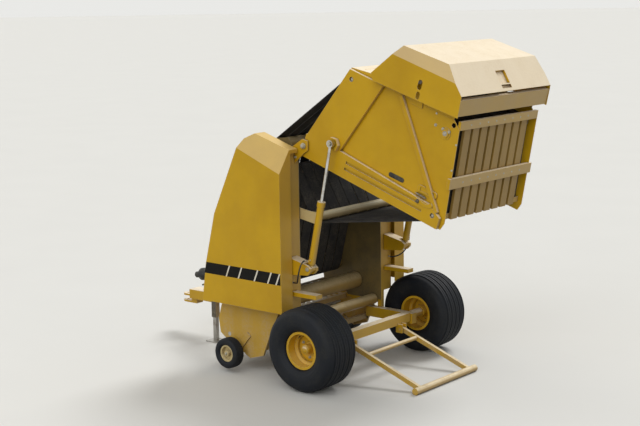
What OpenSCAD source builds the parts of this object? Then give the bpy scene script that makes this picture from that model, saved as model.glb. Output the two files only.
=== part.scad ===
// Round baler, towed. X runs forward, Y to the left and Z up from the ground.
// Inside this file x = 0 is the axle; place() moves the whole machine so that
// its origin is on the ground below the middle of its length.

/* [Bale chamber] */
// Clear width between the chamber's side sheets
chamber_w = 1580; // [1500:10:1640]
// Thickness of the side sheets
sheet_t = 6; // [4:1:10]
// Place of the split between front frame and tailgate
split_x = 446; // [430:2:470]
// Gap between the front frame and the closed tailgate
split_gap = 16; // [10:1:30]

/* [Tailgate] */
// Tailgate pivot, ahead of the axle
pivot_x = 300; // [290:2:310]
// Tailgate pivot, above the ground
pivot_z = 2830; // [2800:5:2860]
// Angle at which the tailgate stands open
gate_open = 70.5; // [60:0.5:74]
// Depth of the pressed side frames
rib_d = 44; // [30:1:46]
// Radius of the tailgate's pivot pins
pivot_r = 30; // [20:1:36]

/* [Belts] */
// Number of belts
belt_count = 8; // [6:1:9]
// Width of one belt
belt_w = 174; // [150:2:180]
// Thickness of a belt
belt_t = 9; // [6:1:12]
// Clear space between the outer belts and the side sheets
belt_edge = 30; // [26:1:50]

/* [Wheels] */
// Outer diameter of a tyre
tyre_d = 1000; // [960:10:1020]
// Width of a tyre
tyre_w = 530; // [480:5:540]
// Middle of a tyre from the machine's centre
tyre_y = 1127; // [1125:1:1150]
// Bead seat diameter of the rim
rim_d = 409; // [380:1:430]
// Radius of the wheel spindle
spindle_r = 35; // [28:1:40]

/* [Pickup] */
// Middle of the tine reel, ahead of the axle
reel_x = 1420; // [1400:5:1440]
// Middle of the tine reel, above the ground
reel_z = 420; // [410:5:440]
// Radius at the tips of the tines
tine_r = 305; // [290:1:310]
// Number of tine bars
tine_bars = 4; // [3:1:6]
// Tines on each bar
tines = 16; // [10:1:20]
// Diameter of a gauge wheel
gauge_d = 380; // [350:5:400]

/* [Drawbar] */
// Hitch pin, ahead of the axle
hitch_x = 3200; // [3100:10:3300]
// Hitch height
hitch_z = 450; // [420:5:480]
// Radius of the hitch pin's hole
hitch_r = 17; // [14:1:20]

/* [Cylinders] */
// Radius of a cylinder barrel
barrel_r = 42; // [36:1:46]
// Radius of a cylinder rod
rod_r = 20; // [14:1:24]

/* [Hidden] */
$fn = 64;
yellow = [0.80, 0.60, 0.10];
rubber = [0.09, 0.09, 0.10];
steel = [0.55, 0.55, 0.53];

// The axle's place in the finished frame
axle_x = -653;
axle_z = tyre_d / 2;
wall_in = chamber_w / 2;
wall_out = wall_in + sheet_t;
rib_out = wall_out + rib_d;
seat = 0.3;

// Small helpers

module both() { children(); mirror([0, 1, 0]) children(); }
module slab(points, y0, y1) translate([0, y1, 0]) rotate([90, 0, 0]) linear_extrude(y1 - y0) polygon(points);
module across(x, z, r, y0, y1) translate([x, y1, z]) rotate([90, 0, 0]) cylinder(r = r, h = y1 - y0);
module box(low, high) translate(low) cube(high - low);
// A square bar between two points of one XZ plane
module strut(a, b, h, y0, y1) slab(let (u = (b - a) / norm(b - a) * h / 2, n = [-u.y, u.x]) [a + n, b + n, b - n, a - n], y0, y1);
function turned(p, c, a) = c + [(p.x - c.x) * cos(a) + (p.y - c.y) * sin(a), -(p.x - c.x) * sin(a) + (p.y - c.y) * cos(a)];
pivot = [pivot_x, pivot_z];
function opened(p) = turned(p, pivot, gate_open);
module opened() translate([pivot_x, 0, pivot_z]) rotate([0, gate_open, 0]) translate([-pivot_x, 0, -pivot_z]) children();
module place() translate([axle_x, 0, 0]) children();
// A closed outline moved inwards by d, for outlines whose points run anticlockwise
function cross2(a, b) = a.x * b.y - a.y * b.x;
function inset(p, d) = let (n = len(p)) [for (i = [0:n - 1])
    let (a = p[(i + n - 1) % n], b = p[i], c = p[(i + 1) % n],
         u = (b - a) / norm(b - a), v = (c - b) / norm(c - b),
         pa = b + d * [-u.y, u.x], pb = b + d * [-v.y, v.x],
         k = cross2(u, v)) abs(k) < 0.01 ? pa : pa + u * (cross2(pb - pa, v) / k)];

// Belt path: rollers are [x, z, radius, turn], turn 1 anticlockwise and -1 clockwise.
// A wrapped belt is drawn in short chords that just clear the roller.
wrap_step = 15;
function heading(a, b) = atan2(b.y - a.y, b.x - a.x) + asin((a[3] * a[2] - b[3] * b[2]) / norm([b.x - a.x, b.y - a.y]));
function touch(roller, h) = [roller.x, roller.y] + roller[3] * roller[2] * [sin(h), -cos(h)];
function wrap(roller, h0, h1) = let (sweep = roller[3] > 0 ? (h1 - h0 + 720) % 360 : -((h0 - h1 + 720) % 360), n = ceil(abs(sweep) / wrap_step))
    [for (i = [0:n]) touch(roller, h0 + sweep * i / n)];
function band(path, t) = let (n = len(path), side = [for (i = [0:n - 1])
    let (a = path[max(i - 1, 0)], b = path[min(i + 1, n - 1)], u = (b - a) / norm(b - a)) [-u.y, u.x] * t / 2])
    concat([for (i = [0:n - 1]) path[i] + side[i]], [for (i = [n - 1:-1:0]) path[i] - side[i]]);
module belts(path) {
    pitch = (chamber_w - 2 * belt_edge) / belt_count;
    for (i = [0:belt_count - 1]) {
        y = -chamber_w / 2 + belt_edge + pitch * (i + 0.5);
        slab(band(path, belt_t), y - belt_w / 2, y + belt_w / 2);
    }
}
half_t = belt_t / 2 + seat;
top_roller = [780, 2790, 90];
idler = [660, 2500, 57];
drive_roller = [1210, 1080, 120];
arm_roller = [220, 1970, 57];
gate_top_roller = [-690, 2430, 70];
gate_rear_roller = [-600, 1060, 70];
gate_low_roller = [310, 900, 62];
function on_belt(r, turn) = [r.x, r.y, (r[2] + half_t) / cos(wrap_step / 2), turn];
function open_roller(r) = let (p = opened([r.x, r.y])) [p.x, p.y, r[2]];
loop = [on_belt(top_roller, 1), on_belt(open_roller(gate_top_roller), 1), on_belt(open_roller(gate_rear_roller), 1),
    on_belt(open_roller(gate_low_roller), 1), on_belt(arm_roller, 1), on_belt(idler, -1), on_belt(drive_roller, 1)];
function run(i) = heading(loop[i % 7], loop[(i + 1) % 7]);
function toward(a, b, d) = a + (b - a) / norm(b - a) * d;
strand_gap = 0.9;

module belts_front() color(rubber) belts(concat(wrap(loop[4], run(3), run(4)), wrap(loop[5], run(4), run(5)),
    wrap(loop[6], run(5), run(6)), wrap(loop[0], run(6), run(0))));
module belts_gate() color(rubber) belts(concat(wrap(loop[1], run(0), run(1)), wrap(loop[2], run(1), run(2)),
    wrap(loop[3], run(2), run(3))));
module strand(i) {
    a = touch(loop[i], run(i));
    b = touch(loop[i + 1], run(i));
    color(rubber) belts([toward(a, b, strand_gap), toward(b, a, strand_gap)]);
}
module belts_upper() strand(0);
module belts_lower() strand(3);

// Front frame

frame_top_z = 2900;
wall_outline = [[split_x, 640], [1000, 640], [1040, 715], [1240, 770], [1400, 800], [1440, 1000], [1500, 1300], [1400, 1900],
    [1150, 2480], [900, frame_top_z - 20], [600, frame_top_z], [split_x, 2700]];
starter_roller = [860, 860, 105];
floor_roller = [570, 640, 70];
fixed_rollers = [top_roller, idler, drive_roller, starter_roller, floor_roller];
driven_rollers = [drive_roller, starter_roller];
journal_r = 28;
housing_r = 62;
housing_t = 26;
module chamber_walls() color(yellow) both() difference() {
    union() {
        slab(wall_outline, wall_in, wall_out);
        for (r = fixed_rollers) across(r.x, r.y, housing_r, wall_out - 1, wall_out + housing_t);
    }
    for (r = fixed_rollers) across(r.x, r.y, journal_r + seat, wall_in - 1, wall_out + housing_t + 1);
}
shaft_r = 24;
shaft_out = wall_out + 122;
module front_rollers() color(steel) {
    for (r = fixed_rollers) {
        across(r.x, r.y, r[2], -wall_in + 4, wall_in - 4);
        across(r.x, r.y, journal_r, -wall_out - housing_t, wall_out + housing_t);
    }
    for (r = driven_rollers) across(r.x, r.y, shaft_r, -shaft_out, -wall_out);
}
post_w = 210;
post_d = 60;
post_low = 760;
rail_h = 130;
rail_z = axle_z - 20;
front_x = 1450;
frame_y = wall_out + seat;
module main_frame() color(yellow) difference() {
    union() {
        both() {
            // Rear post, open to the front like a pressed channel, and its narrow foot beside the tyre
            difference() {
                box([split_x, frame_y, post_low], [split_x + post_d, wall_out + post_w, 2740]);
                box([split_x + 6, wall_out + 8, post_low - 1], [split_x + post_d + 1, wall_out + post_w - 6, 2741]);
            }
            box([split_x, frame_y, rail_z], [split_x + post_d, wall_out + 56, post_low + 1]);
            // Lower rail from the axle to the post, and the flat bars that rise from it to the front
            box([-100, wall_in - 70, rail_z - rail_h / 2], [640, wall_out + 20, rail_z + rail_h / 2]);
            strut([560, 500], [1010, 668], 90, frame_y, wall_out + 24);
            strut([975, 680], [1420, 925], 60, frame_y, wall_out + 24);
            // Front post and the top rails
            box([front_x - 60, frame_y, 890], [front_x, wall_out + 60, 1780]);
            strut([front_x - 30, 1760], [960, 2760], 60, frame_y, wall_out + 60);
            strut([960, 2760], [split_x + 30, 2715], 60, frame_y, wall_out + 60);
            // Door hinge arms with their pins
            for (z = door_hinge_z) {
                slab_z([[front_x - 30, wall_out + 20], [front_x - 1, wall_out + 20], [door_hinge.x + 20, door_hinge.y],
                    [door_hinge.x - 20, door_hinge.y + 8]], z, z + 40);
                translate([door_hinge.x, door_hinge.y, z]) cylinder(r = 22, h = 40);
                translate([door_hinge.x, door_hinge.y, z + 39]) cylinder(r = 10, h = 48);
            }
            // Plates that carry the tailgate's pivot pins
            slab([[split_x + post_d, 2560], [split_x + post_d, 2790], [pivot_x + 20, 2910], [pivot_x - 60, 2890],
                [pivot_x - 60, 2780], [pivot_x, 2740]], rib_out + 8, rib_out + 26);
            across(pivot_x, pivot_z, pivot_r, wall_in - 20, rib_out + 34);
            // Pins on which the pickup lifts
            across(pickup_pivot.x, pickup_pivot.y, 40, frame_y, wall_out + 28);
            across(pickup_pivot.x, pickup_pivot.y, 22, frame_y, wall_out + 58);
        }
    }
    both() for (r = fixed_rollers) across(r.x, r.y, housing_r + seat, wall_out, wall_out + housing_t + 4);
}
// Square tubes between the side sheets: two at the front and one under the top
cross_tubes = [[front_x + 20, 1180], [front_x - 40, 1640], [935, 2790]];
cross_tube = 80;
module cross_members() color(yellow) for (p = cross_tubes)
    box([p.x - cross_tube / 2, -wall_in + seat, p.y - cross_tube / 2], [p.x + cross_tube / 2, wall_in - seat, p.y + cross_tube / 2]);
door_hinge = [1560, wall_out + 189];
door_hinge_z = [930, 1440];
// A flat outline drawn in plan, between two heights
module slab_z(points, z0, z1) translate([0, 0, z0]) linear_extrude(z1 - z0) polygon(points);

module axle() color(yellow) {
    box([-75, -wall_in + 70 + seat, axle_z - 55], [35, wall_in - 70 - seat, axle_z + 55]);
    both() {
        across(0, axle_z, 52, wall_out + 20.3, tyre_y - 105);
        across(0, axle_z, spindle_r, tyre_y - 106, tyre_y + 118);
    }
    both() translate([-105, 0, axle_z - 115]) both_lugs();
}
ramp_y = 500;
ramp_pin = [-110, axle_z - 100];
module both_lugs() for (y = [ramp_y - 48, ramp_y + 30]) difference() {
    box([-40, y, -30], [60, y + 18, 80]);
    translate([ramp_pin.x + 105, y - 1, 15]) rotate([-90, 0, 0]) cylinder(r = 16, h = 20);
}

// Brackets of the tailgate's cylinders

cyl_y = rib_out + 90;
cyl_base = [160, 1390];
cyl_top = [86, 2410];
lug_gap = 34;
lug_r = 44;
barrel_foot = 62;
module cylinder_brackets() color(yellow) both() {
    // Bracket that carries the cylinder's lower pin
    difference() {
        slab([[split_x - seat, 1290], [split_x - seat, 1500], [cyl_base.x, cyl_base.y + lug_r],
            [cyl_base.x - lug_r, cyl_base.y + 8], [cyl_base.x - lug_r, cyl_base.y - 30], [cyl_base.x, cyl_base.y - lug_r - 30]],
            rib_out + 12, cyl_y + 70);
        slab([[cyl_base.x + 76, 1200], [cyl_base.x + 76, 1600], [cyl_base.x - 100, 1600], [cyl_base.x - 100, 1200]],
            cyl_y - lug_gap, cyl_y + lug_gap);
    }
    across(cyl_base.x, cyl_base.y, 20, cyl_y - 60, cyl_y + 60);
    // Outrigger over the tyre
    box([60, rib_out + 14, tyre_d + 28], [split_x - seat, rib_out + 130, tyre_d + 78]);
}

// Hydraulic cylinders, drawn at the open tailgate

open_top = opened(cyl_top);
cyl_len = norm(open_top - cyl_base);
closed_len = norm(cyl_top - cyl_base);
cyl_angle = atan2(open_top.x - cyl_base.x, open_top.y - cyl_base.y);
barrel_len = closed_len - 190;
module on_cylinder(side) translate([cyl_base.x, side * cyl_y, cyl_base.y]) rotate([0, cyl_angle, 0]) children();
module barrel(side) color(yellow) on_cylinder(side) difference() {
    union() {
        rotate([90, 0, 0]) translate([0, 0, -30]) cylinder(r = 44, h = 60);
        translate([0, 0, 20]) cylinder(r = 28, h = barrel_foot);
        translate([0, 0, barrel_foot]) cylinder(r = barrel_r, h = barrel_len - barrel_foot);
        translate([0, 0, barrel_len - 60]) cylinder(r = barrel_r + 7, h = 60);
        // Port
        rotate([-90 * side, 0, 0]) translate([0, -port_l * side, 0]) cylinder(r = port_r, h = port_out);
    }
    rotate([90, 0, 0]) translate([0, 0, -31]) cylinder(r = 20 + seat, h = 62);
    translate([0, 0, 70]) cylinder(r = rod_r + 14, h = barrel_len - 90);
    translate([0, 0, 60]) cylinder(r = rod_r + seat, h = barrel_len);
}
rod_len = 735;
module rod(side) color(steel) on_cylinder(side) {
    translate([0, 0, cyl_len - 40 - rod_len]) cylinder(r = rod_r, h = rod_len);
    translate([0, 0, cyl_len - 40 - rod_len]) cylinder(r = rod_r + 13.5, h = 40);
    translate([0, 0, cyl_len]) rotate([90, 0, 0]) translate([0, 0, -26]) cylinder(r = 44, h = 52);
    // Pin carried in the rod's eye
    translate([0, 0, cyl_len]) rotate([90, 0, 0]) translate([0, 0, -34]) cylinder(r = 20, h = 68);
}

// Hoses of the cylinders: out of the barrel's port, down outside the bracket and into the rear post

port_l = 107;
port_r = 14;
port_out = 62;
hose_r = 9;
hose_end = split_x - seat;
hose_route = [[183, 1000, 1494], [184, 1030, 1492], [188, 1056, 1476], [198, 1072, 1446], [210, 1078, 1405], [224, 1078, 1360],
    [240, 1072, 1315], [260, 1058, 1272], [286, 1034, 1236], [318, 1004, 1210], [354, 974, 1196], [392, 958, 1190],
    [412, 956, 1190], [hose_end, 956, 1190]];
function ring_at(p, i, r, sides) = let (n = len(p), t = p[min(i + 1, n - 1)] - p[max(i - 1, 0)], a = cross(t, [1, 0, 1]), b = cross(t, a))
    [for (k = [0:sides - 1]) p[i] + r * (cos(360 * k / sides) * a / norm(a) + sin(360 * k / sides) * b / norm(b))];
module hose(p, r, sides = 10) {
    n = len(p);
    polyhedron([for (i = [0:n - 1]) each ring_at(p, i, r, sides)],
        concat([[for (k = [0:sides - 1]) k]], [[for (k = [sides - 1:-1:0]) (n - 1) * sides + k]],
            [for (i = [0:n - 2], k = [0:sides - 1]) let (a = i * sides + k, b = i * sides + (k + 1) % sides) [a, a + sides, b + sides, b]]));
}
module hoses() color(rubber) both() {
    hose(hose_route, hose_r);
    // Crimped ends
    translate(hose_route[0] + [0, 1, 0]) rotate([-90, 0, 0]) cylinder(r = hose_r + 3, h = 26);
    translate(hose_route[13] - [34, 0, 0]) rotate([0, 90, 0]) cylinder(r = hose_r + 3, h = 34);
}

// Belt tension arm, inside the chamber walls

arm_pivot = [1060, 2120];
arm_t = 16;
arm_gap = 7;
module tension_arm() color(yellow) {
    both() slab([[arm_pivot.x + 60, arm_pivot.y - 60], [arm_pivot.x + 60, arm_pivot.y + 60], [arm_roller.x + 60, arm_roller.y + 70],
        [arm_roller.x - 20, arm_roller.y + 70], [arm_roller.x - 70, arm_roller.y + 10], [arm_roller.x - 70, arm_roller.y - 30],
        [arm_roller.x, arm_roller.y - 72]], wall_in - arm_gap - arm_t, wall_in - arm_gap);
    both() across(arm_pivot.x, arm_pivot.y, 38, wall_in - arm_gap - 1, wall_in - seat);
    across(arm_roller.x, arm_roller.y, arm_roller[2], -wall_in + arm_gap + 1, wall_in - arm_gap - 1);
    // Collars that keep the belts off the arms
    both() across(arm_roller.x, arm_roller.y, arm_roller[2] + 6, wall_in - belt_edge + 2, wall_in - arm_gap - 1);
}

// Chain drive behind the right shield

input_shaft = [1514, 1062];
drive_at = [drive_roller.x, drive_roller.y];
starter_at = [starter_roller.x, starter_roller.y];
// Nominal pitch, roller radius, half the width between the plates, plate thickness, plate half height at a
// roller and between rollers
link = 31.75;
link_roller_r = 6;
plate_in = 9;
plate_t = 4;
plate_h = 12;
plate_waist = 7;
// Depth by which a roller sinks into its gap, so that a chain and its sprockets hold together
bite = 1;
// Drives: centre and teeth of the larger sprocket, then of the smaller, and the middle plane of the chain
drives = [[drive_at, 23, input_shaft, 10, -wall_out - 89], [drive_at, 19, starter_at, 17, -wall_out - 55]];
function pitch_r(teeth, p) = teeth * p / 360 * 180 / PI;
// Length of a closed chain of pitch p, and the pitch at which a whole number of links just closes it
function lean(d, p) = asin((pitch_r(d[1], p) - pitch_r(d[3], p)) / norm(d[2] - d[0]));
function chain_len(d, p) = 2 * norm(d[2] - d[0]) * cos(lean(d, p)) +
    PI / 180 * (pitch_r(d[1], p) * (180 + 2 * lean(d, p)) + pitch_r(d[3], p) * (180 - 2 * lean(d, p)));
function links_of(d) = round(chain_len(d, link) / link);
function true_pitch(d, p = link, tries = 12) = tries == 0 ? p : true_pitch(d, chain_len(d, p) / links_of(d), tries - 1);
// Place and direction at a distance s along the chain, from where it leaves the larger sprocket
function chain_at(d, p, s) = let (r1 = pitch_r(d[1], p), r2 = pitch_r(d[3], p), v = d[2] - d[0], b = atan2(v.y, v.x),
    e = lean(d, p), run = norm(v) * cos(e), turn2 = PI / 180 * r2 * (180 - 2 * e), h = b - e, back = b + 180 + e)
    s < run ? [d[0] + r1 * [cos(h + 90), sin(h + 90)] + s * [cos(h), sin(h)], h] :
    s < run + turn2 ? let (a = h + 90 - (s - run) / r2 * 180 / PI) [d[2] + r2 * [cos(a), sin(a)], a - 90] :
    s < 2 * run + turn2 ? [d[2] + r2 * [cos(back + 90), sin(back + 90)] + (s - run - turn2) * [cos(back), sin(back)], back] :
    let (a = back + 90 - (s - 2 * run - turn2) / r1 * 180 / PI) [d[0] + r1 * [cos(a), sin(a)], a - 90];
// One side of the plates: a joint at each roller and a waist between two
function plate_edge(d, p, side) = let (n = links_of(d)) [for (i = [0:2 * n - 1])
    let (at = chain_at(d, p, i * p / 2), h = i % 2 == 0 ? plate_h : plate_waist) at[0] + side * h * [-sin(at[1]), cos(at[1])]];
module chain(d) {
    p = true_pitch(d);
    for (side = [-1, 1]) {
        y = d[4] + side * (plate_in + plate_t / 2);
        difference() {
            slab(plate_edge(d, p, 1), y - plate_t / 2, y + plate_t / 2);
            slab(plate_edge(d, p, -1), y - plate_t, y + plate_t);
        }
    }
    for (i = [0:links_of(d) - 1]) let (c = chain_at(d, p, i * p)[0])
        across(c.x, c.y, link_roller_r, d[4] - plate_in - 1, d[4] + plate_in + 1, $fn = 8);
}
// Sprocket whose gaps hold the rollers: phase is the direction of one roller
module sprocket(c, teeth, p, phase, y) {
    r = pitch_r(teeth, p);
    step = 360 / teeth;
    root = (r - link_roller_r + bite) / cos(0.22 * step);
    difference() {
        union() {
            slab([for (i = [0:teeth - 1]) let (a = phase + i * step)
                each [c + root * [cos(a - 0.22 * step), sin(a - 0.22 * step)], c + root * [cos(a + 0.22 * step), sin(a + 0.22 * step)],
                      c + (r + 8) * [cos(a + 0.4 * step), sin(a + 0.4 * step)], c + (r + 8) * [cos(a + 0.6 * step), sin(a + 0.6 * step)]]],
                y - 6, y + 6);
            across(c.x, c.y, min(44, r - 18), y - 15, y + 15);
        }
        across(c.x, c.y, shaft_r + seat, y - 16, y + 16);
    }
}
module chain_drive() color(steel) for (d = drives) {
    p = true_pitch(d);
    chain(d);
    sprocket(d[0], d[1], p, chain_at(d, p, 0)[1] + 90, d[4]);
    // The roller that first reaches the smaller sprocket sets its phase
    k = ceil(norm(d[2] - d[0]) * cos(lean(d, p)) / p);
    sprocket(d[2], d[3], p, chain_at(d, p, k * p)[1] + 90, d[4]);
}

// Side shields: hollow covers over the drives, hinged at the front

shield_out = wall_out + 414;
shield_t = 5;
roof_in = wall_out + 84;
roof_low = 2746;
shield_in = wall_out + post_w + 4;
shield_rear = split_x - 60;
shield_outline = [[shield_rear, 850], [1700, 850], [1630, 1310], [1460, 1960], [1010, 2900], [900, 2960],
    [shield_rear, 2790]];
// Cut that bevels the top edge: it leans inwards above the outer panel's upper edge
module bevel(inward) {
    low = [shield_rear, 2560];
    high = [960, 2790];
    tilt = atan2(high.y - low.y, high.x - low.x);
    translate([low.x, shield_out - inward, low.y]) rotate([0, -tilt, 0]) rotate([36, 0, 0]) translate([-600, -20, -500])
        cube([2400, 500, 2400]);
}
module shield_form(d) difference() {
    union() {
        slab(inset(shield_outline, d), shield_in - (d > 0 ? 50 : 0), shield_out - d);
        // Roof that reaches inwards over the rear post
        intersection() {
            slab(inset(shield_outline, d), roof_in - (d > 0 ? 50 : 0), shield_in + 20);
            box([shield_rear - 10, 0, roof_low - (d > 0 ? 10 : 0)], [1100, shield_out, 3000]);
        }
    }
    bevel(d * 1.6);
}
function front_edge(z) = lookup(z, [[850, 1700], [1310, 1630], [1960, 1460]]);
module shield() color(yellow) difference() {
    union() {
        difference() {
            shield_form(0);
            shield_form(shield_t);
            // Open at the bottom
            box([shield_rear + shield_t, 0, 800], [1660, shield_out - shield_t, 870]);
        }
        // Hinge knuckles on straps from the front wall
        for (z = door_hinge_z) {
            translate([door_hinge.x, door_hinge.y, z + 42]) cylinder(r = 22, h = 42);
            box([door_hinge.x, door_hinge.y, z + 42], [front_edge(z + 84) - 2, door_hinge.y + 22, z + 84]);
            box([front_edge(z + 84) - 30, door_hinge.y, z + 42], [front_edge(z + 84) - 2, shield_in + 40, z + 84]);
        }
    }
    for (z = door_hinge_z) translate([door_hinge.x, door_hinge.y, z + 41]) cylinder(r = 10 + seat, h = 44);
}
module shield_left() shield();
module shield_right() mirror([0, 1, 0]) shield();

// Tailgate, drawn closed and turned open

gate_front_x = split_x - split_gap;
gate_outline = [[gate_front_x, 775], [gate_front_x, 2860], [150, 2860], [-800, 2490], [-850, 2120], [-780, 1950],
    [-780, 1000], [-700, 905], [340, 745]];
flange_out = 18;
module gate_sides() color(yellow) opened() both() difference() {
    union() {
        slab(gate_outline, wall_in, wall_out);
        // Ear for the rear cover's hinge rod
        across(cover_hinge.x, cover_hinge.y, cover_ear, wall_in, wall_out);
        // Bearing flange of the rear roller
        across(gate_rear_roller.x, gate_rear_roller.y, 66, wall_out - 1, wall_out + 8);
        across(gate_rear_roller.x, gate_rear_roller.y, 44, wall_out - 1, wall_out + flange_out);
    }
    across(cover_hinge.x, cover_hinge.y, cover_rod + seat, wall_in - 1, wall_out + 1);
    across(pivot_x, pivot_z, pivot_r + seat, wall_in - 1, wall_out + 1);
    for (r = [gate_top_roller, gate_rear_roller, gate_low_roller])
        across(r.x, r.y, journal_r + seat, wall_in - 1, wall_out + flange_out + 1);
    // Hole in the rear corner
    across(-722, 990, 27, wall_in - 1, wall_out + 1);
    bar(cross_bar, seat);
}
module gate_beams() color(yellow) opened() both() difference() {
    union() {
        // Box beam along the front edge
        slab([[gate_front_x, 800], [gate_front_x, 2855], [155, 2855], [150, 2330], [210, 960], [300, 800]], wall_out, rib_out);
        // Wide pressed panel under the upper edge
        slab([[200, 2855], [-795, 2485], [-790, 1985], [200, 2348]], wall_out, rib_out);
        // Diagonal rib
        strut([-770, 1730], [262, 867], 46, wall_out, rib_out - 4);
        // Lug for the cylinder's rod
        slab([[cyl_top.x + 70, cyl_top.y - 60], [cyl_top.x + 70, cyl_top.y + 50], [cyl_top.x - 50, cyl_top.y + 60],
            [cyl_top.x - 60, cyl_top.y - 20], [cyl_top.x, cyl_top.y - 70]], rib_out - 5, cyl_y - 40);
        // Latch hook near the lower end, and an oblong inspection cover behind the beam
        slab([[205, 1150], [250, 1150], [262, 1030], [240, 940], [205, 925], [180, 950], [196, 972], [216, 990], [222, 1030]],
            rib_out - 5, rib_out + 8);
        across(232, 1125, 18, rib_out, rib_out + 12);
        difference() {
            union() {
                slab([[62, 965], [138, 965], [138, 1165], [62, 1165]], wall_out, wall_out + 16);
                for (z = [965, 1165]) across(100, z, 38, wall_out, wall_out + 16);
            }
            slab([[78, 970], [122, 970], [122, 1160], [78, 1160]], wall_out + 9, wall_out + 17);
        }
    }
    across(pivot_x, pivot_z, pivot_r + seat, wall_in - 1, rib_out + 1);
    across(gate_low_roller.x, gate_low_roller.y, journal_r + seat, wall_out - 1, rib_out + 1);
    across(gate_top_roller.x, gate_top_roller.y, journal_r + seat, wall_out - 1, rib_out + 1);
    // Long groove pressed into the front beam
    slab([[300, 1050], [300, 2200], [330, 2200], [330, 1050]], rib_out - 14, rib_out + 1);
    slab([[230, 1050], [225, 2200], [255, 2200], [260, 1050]], rib_out - 14, rib_out + 1);
}
slats = 8;
slat_w = 118;
slat_pitch = 166;
slat_a = [330, 790];
slat_b = [-690, 950];
module gate_slats() color(yellow) opened() for (i = [0:slats - 1]) {
    y = (i - (slats - 1) / 2) * slat_pitch;
    difference() {
        strut(slat_a, slat_b, slat_d, y - slat_w / 2, y + slat_w / 2);
        translate([0, 0, 5]) strut(slat_a - slat_u * 2, slat_b + slat_u * 2, slat_d - 4, y - slat_w / 2 + 5, y + slat_w / 2 - 5);
    }
}
slat_u = (slat_b - slat_a) / norm(slat_b - slat_a);
slat_n = [slat_u.y, -slat_u.x];
slat_d = 34;
// Bars: share of the slats' length, height, depth, half width and side of the slats, -1 outside
cross_bar = [0.42, 118, 40, rib_out - 6, -1];
front_bar = [0.03, 60, 12, wall_in - seat, 1];
rear_bar = [1.045, 96, 34, wall_in - seat, -1];
module bar(b, gap) {
    c = slat_a + (slat_b - slat_a) * b[0] + b[4] * slat_n * (slat_d / 2 + seat + b[2] / 2);
    strut(c - slat_u * (b[1] / 2 + gap), c + slat_u * (b[1] / 2 + gap), b[2] + 2 * gap, -b[3], b[3]);
}
module gate_bars() color(yellow) opened() {
    for (b = [cross_bar, front_bar, rear_bar]) bar(b, 0);
    // Cradles of the net roll on the outside of the side frames
    both() difference() {
        slab([[-740, 1430], [-740, 1610], [net_roll_at.x - 20, net_roll_at.y + 60], [net_roll_at.x - 60, net_roll_at.y],
            [net_roll_at.x - 20, net_roll_at.y - 60]], frame_y, wall_out + 12);
        across(net_roll_at.x, net_roll_at.y, net_core_r + seat, wall_out - 1, wall_out + 13);
    }
}
module gate_rollers() color(steel) opened() for (r = [gate_top_roller, gate_rear_roller, gate_low_roller]) {
    across(r.x, r.y, r[2], -wall_in + 4, wall_in - 4);
    across(r.x, r.y, journal_r, -wall_out - flange_out, wall_out + flange_out);
}
module gate_top_plate() color(yellow) opened()
    slab([[-800.4, 2490.6], [-844.4, 2165], [-850.4, 2165], [-806, 2496], [-702, 2536], [-700, 2529.6]], -wall_out, wall_out);

// Net wrap roll and the hinged rear cover

net_roll_at = [-1010, 1560];
net_r = 120;
net_core_r = 34;
module net_roll() color("whitesmoke") opened() {
    across(net_roll_at.x, net_roll_at.y, net_r, -640, 640);
    across(net_roll_at.x, net_roll_at.y, net_core_r, -wall_out - 10, wall_out + 10);
}
cover_y = rib_out + 74;
cover_t = 4;
cover_hinge = [-872, 2128];
cover_ear = 26;
cover_rod = 10;
cover_outline = [[-760, 2060], [-890, 2140], [-1320, 1840], [-1340, 1220], [-1085, 930], [-760, 890]];
module cover_form(d) difference() {
    slab(inset(cover_outline, d), -cover_y + d, cover_y - d);
    // Bevel between each side and the rear panel
    both() translate([-1190 + d * 1.3, cover_y, 0]) rotate([0, 0, 16]) translate([-600, 0, 500]) cube([600, 200, 2000]);
}
gate_room = 12;
// The slanted rear plane of the cover, from its upper to its lower edge
plane_a = [-1340, 1220];
plane_b = [-1085, 930];
plane_u = (plane_b - plane_a) / norm(plane_b - plane_a);
plane_n = [-plane_u.y, plane_u.x];
function on_plane(s, depth) = plane_a + plane_u * s + plane_n * depth;
function plane_patch(s0, s1, d0, d1) = [on_plane(s0, d0), on_plane(s1, d0), on_plane(s1, d1), on_plane(s0, d1)];
// Recessed grip in the rear plane: from and to along the plane, depth, and its two sides
grip = [132, 292, 34, -112, 74];
grip_lip = 14;
// Handle slots in the cover's sides: two ends of the middle line and half the width
handle_slots = [[[-1034, 1476], [-979, 1474], 28], [[-906, 1466], [-868, 1463], 24]];
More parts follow.
